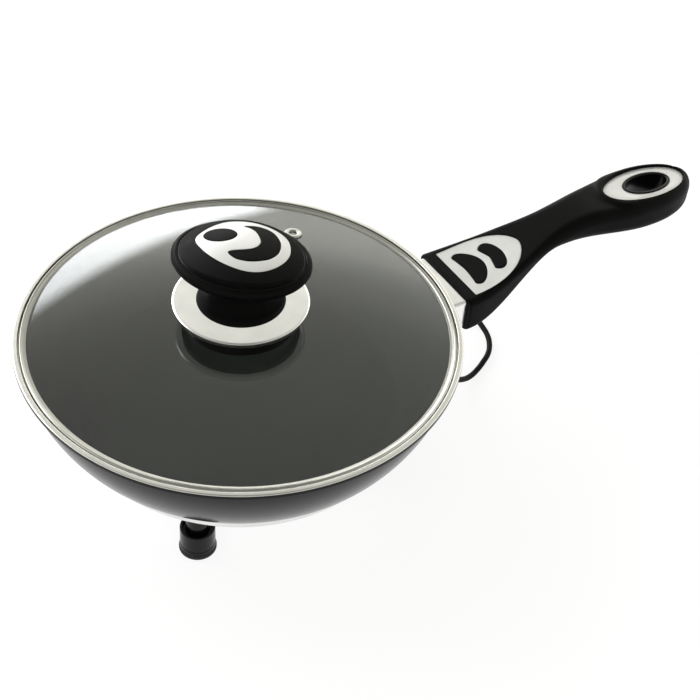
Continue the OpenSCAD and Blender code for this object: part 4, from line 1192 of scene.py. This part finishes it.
# Lid glass
# A domed disc of clear toughened glass with a ground edge, thicker round the knob's screw. The vent and the
# screw go through holes in it.
glass_r, edge_low_z, _ = round_size("lid_glass")
apex_z = 96
dome_edge_r = 116.5
edge_top_z = 86.55
glass_t = edge_top_z - edge_low_z
boss_t = 4
boss_slope = (14, 27)
dome_rise = apex_z - edge_top_z
dome_sphere_r = (dome_edge_r ** 2 + dome_rise ** 2) / (2 * dome_rise)
knob_hole_r = 3
glass_steps = 48
glass_tints = ((0.93, 0.955, 0.94, 1), (0.96, 0.975, 0.965, 1))
glass_shadow = (0.9, 0.93, 0.91, 1)


def dome_z(r):
    """Height of the glass's upper face."""
    return apex_z - dome_sphere_r + math.sqrt(dome_sphere_r ** 2 - r ** 2)


def pane_low_z(r):
    """Height of its lower face."""
    return dome_z(r) - boss_t + (boss_t - glass_t) * ease(r, *boss_slope)


def end_shader(tree, share, first, second, output):
    """Ends a tree in a mix of two shaders."""
    mix = add_node(tree, "ShaderNodeMixShader", {"Fac": share, 1: first.outputs[0], 2: second.outputs[0]})
    feed(tree, tree.nodes[output], {"Surface": mix.outputs["Shader"]})


clear_glass, glass_tree, glass_shader = new_material("clear_glass")
glass_object = add_node(glass_tree, "ShaderNodeTexCoord").outputs["Object"]
glass_tint = add_node(glass_tree, "ShaderNodeValToRGB", {"Fac": noise(glass_tree, glass_object, 60)})
for stop, tint in zip(glass_tint.color_ramp.elements, glass_tints):
    stop.color = tint
glass_smear = mapped(glass_tree, noise(glass_tree, glass_object, 45, 4), 0.45, 0.75, 0, 0.02)
feed(glass_tree, glass_shader, {
    "Base Color": glass_tint.outputs["Color"], "Roughness": glass_smear,
    "Transmission Weight": 1, "IOR": 1.5,
})
glass_path = add_node(glass_tree, "ShaderNodeLightPath").outputs
glass_clear = add_node(glass_tree, "ShaderNodeBsdfTransparent", {"Color": glass_shadow})
end_shader(glass_tree, glass_path["Is Shadow Ray"], glass_shader, glass_clear, "Material Output")
glass_rs = [knob_hole_r + (dome_edge_r - knob_hole_r) * i / glass_steps for i in range(glass_steps)]
glass_edge = soft_corners([
    (dome_edge_r, edge_low_z, 0), (glass_r, edge_low_z, 0.2), (glass_r, edge_top_z, 0.2),
    (dome_edge_r, edge_top_z, 0),
])
glass_under = [(r, pane_low_z(r)) for r in glass_rs]
glass_outline = glass_under + glass_edge + [(r, dome_z(r)) for r in reversed(glass_rs)]
glass_mesh = turned(glass_outline, clear_glass, pan_place, 256, sharp=25)
add_piece("lid_pane", glass_mesh, "lid", "lid_glass", "lid_glass")


# Lid band
# A ring rolled from stainless sheet and closed round the glass's edge. Its face slopes down to the glass,
# with a fine ridge on it, and its lower leg rests on the pan's ledge.
band_r, band_low_z, _ = round_size("lid_band")
band_top_z = rim_z + 0.05
band_in_r = 115.6
band_t = 0.5
band_leg_r = band_r - 3
band_hollow_r = band_r - band_t - 0.1
ridge = ((117.5, 0.44, 0.1), (117.1, 0.5, 0.15), (116.8, 1.12, 0.1))
# Steel of the band and the vent. On the knob disc's side and underside, the same steel is painted shade.
rolled_steel_and_disc_shade = finish(
    "rolled_steel_and_disc_shade", (0.45, 0.445, 0.415), 0.17, tone=0.06, patch=16, grain=0.5, dent=0.0015, metallic=1,
    stretch=(1, 1, 6),
)
band_outline = soft_corners([
    (band_leg_r, band_low_z, 0.15), (band_r, band_low_z, 0.3), (band_r - 0.2, band_top_z - 0.9, 0.3),
    (band_r - 1.1, band_top_z, 0.3), *((r, band_top_z - drop, fillet) for r, drop, fillet in ridge),
    (band_in_r, edge_top_z + 0.15, 0.1), (band_in_r, edge_top_z + 0.04, 0),
    (band_hollow_r, edge_top_z + 0.04, 0.1), (band_hollow_r, band_low_z + band_t, 0.1),
    (band_leg_r, band_low_z + band_t, 0.1),
])
band_mesh = turned(band_outline, rolled_steel_and_disc_shade, pan_place, 256, sharp=30)
add_piece("lid_edge", band_mesh, "lid", "bright_trim", "lid_band")


# Steam vent
# A small bright steel eyelet, pressed through the glass and flared on both sides.
vent_at = 88
vent_turn = math.radians(42)
vent_r = 5.5
vent_hole_r = 2.4
vent_neck_r = 3.4
vent_low = -glass_t - 1
vent_high = 0.95
vent_place = (
    Matrix.Translation(from_pan(*(vent_at * heading(vent_turn) + Vector((0, 0, dome_z(vent_at))))))
    @ Matrix.Rotation(vent_turn, 4, "Z")
    @ Matrix.Rotation(math.asin(vent_at / dome_sphere_r), 4, "Y")
)
vent_outline = soft_corners([
    (vent_hole_r, vent_low, 0.3), (vent_r - 0.6, vent_low, 0.4), (vent_r - 0.6, vent_low + 0.8, 0.2),
    (vent_neck_r, vent_low + 0.8, 0), (vent_neck_r, 0.1, 0), (vent_r, 0.1, 0.1),
    (vent_r - 0.3, vent_high, 0.5), (vent_hole_r, vent_high, 0.9),
])
vent_mesh = turned(vent_outline, rolled_steel_and_disc_shade, vent_place, 48, sharp=60)
add_piece("vent_eyelet", vent_mesh, "lid", "bright_trim", "steam_vent")


# Knob base
# A glossy black seat stands on the glass and carries a bright pressed disc. A waisted black neck stands on
# the disc and holds the brass insert for the screw that comes up through the glass.
seat_r = 31
seat_in_r = 33.3
seat_lip = 2
disc_low_z = 105.8
disc_top_z = 109.2
disc_r = 37.3
disc_low_r = 36.6
disc_t = 1
neck_top_z = 131.2
neck_r = 23.3
neck_top_r = 20.5
neck_flare = 0.9
neck_steps = 24
insert_r = 5.05
insert_top_z = 123.25
screw_bore_r = 2.05
seat_lip_z = disc_low_z - seat_lip
disc_under_z = disc_top_z - disc_t
seat_foot_rs = [screw_bore_r + (seat_r - 1 - screw_bore_r) * i / 6 for i in range(7)]
seat_outline = [(r, dome_z(r) + 0.05) for r in seat_foot_rs] + soft_corners([
    (seat_r, dome_z(seat_r) + 0.1, 0.5), (seat_r - 0.3, seat_lip_z, 0.2), (seat_in_r, seat_lip_z, 0.4),
    (seat_in_r, disc_under_z - 0.05, 0.3), (screw_bore_r, disc_under_z - 0.05, 0),
])
seat_mesh = turned(seat_outline, gloss_black, pan_place, 128)
add_piece("knob_foot", seat_mesh, "lid", "gloss_black", "knob_seat")
disc_outline = soft_corners([
    (screw_bore_r, disc_under_z, 0), (disc_low_r - disc_t - 0.3, disc_under_z, 0.4),
    (disc_low_r - disc_t, disc_low_z, 0.2), (disc_low_r, disc_low_z, 0.3), (disc_r, disc_top_z - 0.5, 0.5),
    (disc_r - 0.7, disc_top_z, 0.7), (screw_bore_r, disc_top_z, 0),
])
disc_mesh = turned(disc_outline, bright_trim, pan_place, 192, sharp=50)
# Painted shade: the side and underside of the one pressed disc take the darker rolled steel, so the disc is
# darker below its top.
disc_mesh.materials.append(rolled_steel_and_disc_shade)
for face in disc_mesh.polygons:
    if face.center.z < (disc_top_z - 0.55) * mm:
        face.material_index = 1
knob_plate = add_piece("knob_plate", disc_mesh, "lid", "bright_trim", "knob_disc")
neck_outline = [(insert_r, disc_top_z)]
for i in range(neck_steps + 1):
    s = i / neck_steps
    waist = neck_r + (neck_top_r - neck_r) * math.sin(math.pi / 2 * s)
    flare = neck_flare * (1 - ease(s, 0, 0.08))
    neck_outline.append((waist + flare, disc_top_z + (neck_top_z - disc_top_z) * s))
neck_outline += [(0, neck_top_z), (0, insert_top_z), (insert_r, insert_top_z)]
# The neck's own black. On the knob grip, the same deeper black is painted shade in the groove.
neck_black_and_groove_shade = finish(
    "neck_black_and_groove_shade", (0.0012, 0.0012, 0.0012), 0.35, tone=0.08, patch=15, grain=0.6, dent=0.004, gloss=0.06
)
neck_mesh = turned(neck_outline, neck_black_and_groove_shade, pan_place, 128)
knob_stem = add_piece("knob_stem", neck_mesh, "lid", "gloss_black", "knob_neck")
dress(blade_brass, "knob_insert")
dress(
    finish("white_silicone", (0.7, 0.7, 0.66), 0.6, tone=0.06, patch=4, grain=0.6, dent=0.04, gloss=0.3),
    "knob_washer",
)
knob_screw_z = round_size("knob_washer")[1]
knob_screw = cross_head(5, 2.6, 2, round_size("knob_screw")[2] - knob_screw_z)
knob_fixing = add_screws("knob_fixing", knob_screw, [(0, 0, knob_screw_z)], 4, "lid", "knob_screw")


# Knob grip
# An oval soft black grip in two mouldings: a rounded lower ring on the neck and a domed cap, with a groove
# where they meet.
knob_turn = math.radians(-47)
knob_place = pan_place @ Matrix.Rotation(knob_turn, 4, "Z")
grip_a = 38
grip_b = 31
grip_z = neck_top_z
grip_h = 8.1
grip_low_share = 0.6
grip_low_in = 5.5
widest_z = grip_z + grip_low_share * grip_h
groove_in = 2.9
groove_z = grip_z + grip_h - 1.4
cap_top_z = 145.1
cap_dome_r = 110
cap_edge = 4.1
cap_fillet = 0.9
bow_steps = 14
cap_steps = 40


def paint_groove_shade(mesh, low_inset, high_inset, low_z):
    """Paints shade into the groove: faces between two insets from the grip's oval and above a height take
    the neck's deeper black as painted shade.
    """
    mesh.materials.append(neck_black_and_groove_shade)
    for face in mesh.polygons:
        place = knob_place.inverted() @ face.center / mm
        share = math.hypot(place.x / grip_a, place.y / grip_b)
        inset = math.hypot(place.x, place.y) * (1 / max(share, 0.1) - 1)
        if low_inset < inset < high_inset and place.z > low_z:
            face.material_index = 1


def cap_ring(inset, share=1, drop=0, level_z=None):
    """Ring of the cap, drawn in from the grip's oval: on the dome or a drop below it, or at a level."""
    ring = []
    for p in oval((grip_a - inset) * share, (grip_b - inset) * share, 128):
        dome = cap_top_z - cap_dome_r + math.sqrt(cap_dome_r ** 2 - p.x * p.x - p.y * p.y)
        ring.append(knob_place @ (Vector((p.x, p.y, dome - drop if level_z is None else level_z)) * mm))
    return ring


grip_rows = [(8, grip_z)]
for i in range(-bow_steps, bow_steps + 1):
    bow = math.pi / 2 * i / bow_steps
    reach, inset = grip_low_share * grip_h, grip_low_in
    if i >= 0:
        reach, inset = (1 - grip_low_share) * grip_h - 0.4, groove_in
    grip_rows.append((inset * (1 - math.cos(bow)), widest_z + reach * math.sin(bow)))
grip_rows += [(groove_in + 0.1, groove_z), (groove_in + 2, groove_z)]
ring_mesh = oval_loft(grip_rows, grip_a, grip_b, soft_black, knob_place, sharp=60)
# Painted shade: the ring's upper shoulder by the groove and the groove's floor take the neck's deeper
# black.
paint_groove_shade(ring_mesh, 1.7, 20, widest_z)
knob_ring = add_piece("knob_ring", ring_mesh, "lid", "grip_black", "knob_grip")
cap_rings = [cap_ring(cap_edge + 1, level_z=groove_z), cap_ring(cap_edge, level_z=groove_z)]
for i in range(9):
    turn = math.pi / 2 * i / 8
    inset = cap_edge + cap_fillet * (1 - math.cos(turn))
    cap_rings.append(cap_ring(inset, drop=cap_fillet * (1 - math.sin(turn))))
cap_rings += [cap_ring(cap_edge + cap_fillet, 1 - i / cap_steps) for i in range(1, cap_steps)]
cap_mesh = lofted(cap_rings, soft_black, sharp=60)
# Painted shade: the cap's lower wall and the foot of its edge fillet take the neck's deeper black.
paint_groove_shade(cap_mesh, 0, cap_edge + 0.4, groove_z - 1)
knob_crown = add_piece("knob_crown", cap_mesh, "lid", "grip_black", "knob_cap")


# Knob inlay
# An egg-shaped plate of the same bright satin sheet, curved to the cap. Pads of the cap's black fill an
# oval and a crescent window in it.
egg = [
    (-26, 2), (-19, -8), (-7, -15), (6, -17.5), (16, -14.5), (23, -6), (25, 5), (20, 16.5), (9, 22.5),
    (-5, 23.5), (-18, 17.5),
]
crescent = [
    (-4.9, -7.6), (-2, -9.9), (1.9, -11.1), (7.3, -10.5), (12.1, -8.3), (16.9, -4.2), (19.4, 1.7),
    (19, 7.8), (16.8, 13.2), (12.6, 17.8), (8, 20.2), (3, 20.8), (-1.6, 20), (-5, 17.9), (-1, 17),
    (2.7, 14.8), (6, 10.8), (8.1, 6.7), (7.8, 2.8), (5.7, -0.2), (2.3, -2.5), (-1.3, -4.2), (-4.2, -5.8),
]
knob_windows = [oval(9, 6.4, 40, (-14, 6), math.radians(17)), closed_curve(crescent)]
badge_high = plate_proud - 0.18
badge_pad_high = badge_high + 0.15
badge_plate = stamped(
    [closed_curve(egg)] + knob_windows, -plate_bed, badge_high, plate_edge, satin_plate, knob_place,
    knob_crown, cell=2,
)
badge = add_piece("knob_badge", badge_plate, "lid", "bright_trim", "knob_inlay")
badge_pads = stamped(
    [drawn_in(curve, pad_gap) for curve in knob_windows], -plate_bed, badge_pad_high, pad_edge, soft_black,
    knob_place, knob_crown, cell=2,
)
badge_fill = add_piece("badge_pads", badge_pads, "lid", "grip_black")

# Of the knob, only the seat shows in the glass below it.
for piece in (knob_stem, knob_ring, knob_crown, badge, badge_fill):
    piece.visible_glossy = False
    piece.visible_transmission = False
for piece in (knob_plate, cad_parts["knob_insert"], knob_fixing):
    piece.visible_glossy = False


# Studio
# A wide white floor, a pale sky that is brightest low down, a bright panel behind the skillet and one soft
# lamp in front on the left. None of it is a piece of the skillet.
floor_half = 6
floor_grey = (0.85, 0.85, 0.85, 1)
floor_seen_grey = (0.2, 0.2, 0.2, 1)
floor_glow = 0.84
sky_colour = (1, 1, 0.93, 1)
sky_levels = (
    (0, 1.0), (16, 1.5), (22.8, 1.9), (25.7, 1.8), (28.6, 1.42), (31.2, 1.15), (34, 1.0), (36.9, 0.85),
    (40.4, 0.74), (45, 0.66), (50.3, 0.6), (60.2, 0.54), (68, 0.48), (76, 0.26), (90, 0.2),
)
sky_full = 4
panel_colour = (0.95, 0.97, 1, 1)
panel_level = 4.8
lamp_place = Vector((-1.7, -1.6, 2.0))
lamp_size = 2
lamp_power = 22


def add_shaders(tree, first, second):
    return add_node(tree, "ShaderNodeAddShader", {0: first.outputs[0], 1: second.outputs[0]})


floor_mesh = bpy.data.meshes.new("floor")
floor_corners = [(x * floor_half, y * floor_half, 0) for x, y in ((-1, -1), (1, -1), (1, 1), (-1, 1))]
floor_mesh.from_pydata(floor_corners, [], [(0, 1, 2, 3)])
floor_paint, floor_tree, floor_shader = new_material("floor_paint")
floor_tree.nodes.remove(floor_shader)
floor_path = add_node(floor_tree, "ShaderNodeLightPath").outputs
floor_seen = maths(floor_tree, "MAXIMUM", floor_path["Is Camera Ray"], floor_path["Is Glossy Ray"])
floor_seen = maths(floor_tree, "MAXIMUM", floor_seen, floor_path["Is Transmission Ray"])
floor_plain = add_node(floor_tree, "ShaderNodeBsdfDiffuse", {"Color": floor_grey})
floor_shade = add_node(floor_tree, "ShaderNodeBsdfDiffuse", {"Color": floor_seen_grey})
floor_white = add_node(floor_tree, "ShaderNodeEmission", {"Strength": floor_glow})
floor_sum = add_shaders(floor_tree, floor_shade, floor_white)
end_shader(floor_tree, floor_seen, floor_plain, floor_sum, "Material Output")
floor_mesh.materials.append(floor_paint)
put("floor", floor_mesh)

room = bpy.data.worlds.new("room")
scene.world = room
room.use_nodes = True
room_tree = room.node_tree
room_way = add_node(room_tree, "ShaderNodeTexCoord").outputs["Generated"]


def direction(azimuth, height):
    """Unit vector at an azimuth from +X towards +Y and a height over the level, in degrees."""
    level, up = math.cos(math.radians(height)), math.sin(math.radians(height))
    return heading(math.radians(azimuth)) * level + Vector((0, 0, up))


def along(vector, low, high):
    """0 to 1 as the direction's share along a vector goes from low to high, with a smooth start and end."""
    dot = add_node(room_tree, "ShaderNodeVectorMath", {0: room_way, 1: vector}, operation="DOT_PRODUCT")
    return mapped(room_tree, dot.outputs["Value"], low, high, interpolation_type="SMOOTHSTEP")


def times(a, b):
    return maths(room_tree, "MULTIPLY", a, b)


room_up = add_node(room_tree, "ShaderNodeSeparateXYZ", {"Vector": room_way}).outputs["Z"]
sky = add_node(room_tree, "ShaderNodeFloatCurve", {"Value": room_up})
sky_curve = sky.mapping.curves[0]
sky_curve.points[0].location = (0, sky_levels[0][1] / sky_full)
sky_curve.points[1].location = (1, sky_levels[-1][1] / sky_full)
for height, level in sky_levels[1:-1]:
    sky_curve.points.new(math.sin(math.radians(height)), level / sky_full)
sky.mapping.update()
front_dim = maths(room_tree, "MULTIPLY_ADD", along(direction(62, 0), -0.7, 0.5), 0.5, 0.5)
sky_level = times(times(sky.outputs["Value"], sky_full), front_dim)
panel_right = direction(59, 17.9)
panel_top = panel_right.cross(direction(84, 31.9)).normalized()
panel_side = panel_right.cross(direction(72, 2)).normalized()
panel = times(
    times(along(panel_top, 0.025, -0.025), along(panel_side, -0.02, 0.04)),
    times(along(direction(95, 20), 0.65, 0.8), along(Vector((0, 0, 1)), 0.2, 0.29)),
)
room_sky = feed(room_tree, room_tree.nodes["Background"], {"Color": sky_colour, "Strength": sky_level})
room_panel = add_node(room_tree, "ShaderNodeBackground", {
    "Color": panel_colour, "Strength": times(panel, panel_level),
})
room_sum = add_shaders(room_tree, room_sky, room_panel)
room_white = add_node(room_tree, "ShaderNodeBackground", {"Color": (1, 1, 1, 1)})
room_path = add_node(room_tree, "ShaderNodeLightPath").outputs
end_shader(room_tree, room_path["Is Camera Ray"], room_sum, room_white, "World Output")

lamp = bpy.data.lights.new("key_lamp", "AREA")
lamp.shape = "RECTANGLE"
lamp.size = lamp.size_y = lamp_size
lamp.energy = lamp_power
key_lamp = put("key_lamp", lamp)
key_lamp.location = lamp_place
key_lamp.rotation_euler = (-lamp_place).to_track_quat("-Z", "Y").to_euler()
key_lamp.visible_glossy = False
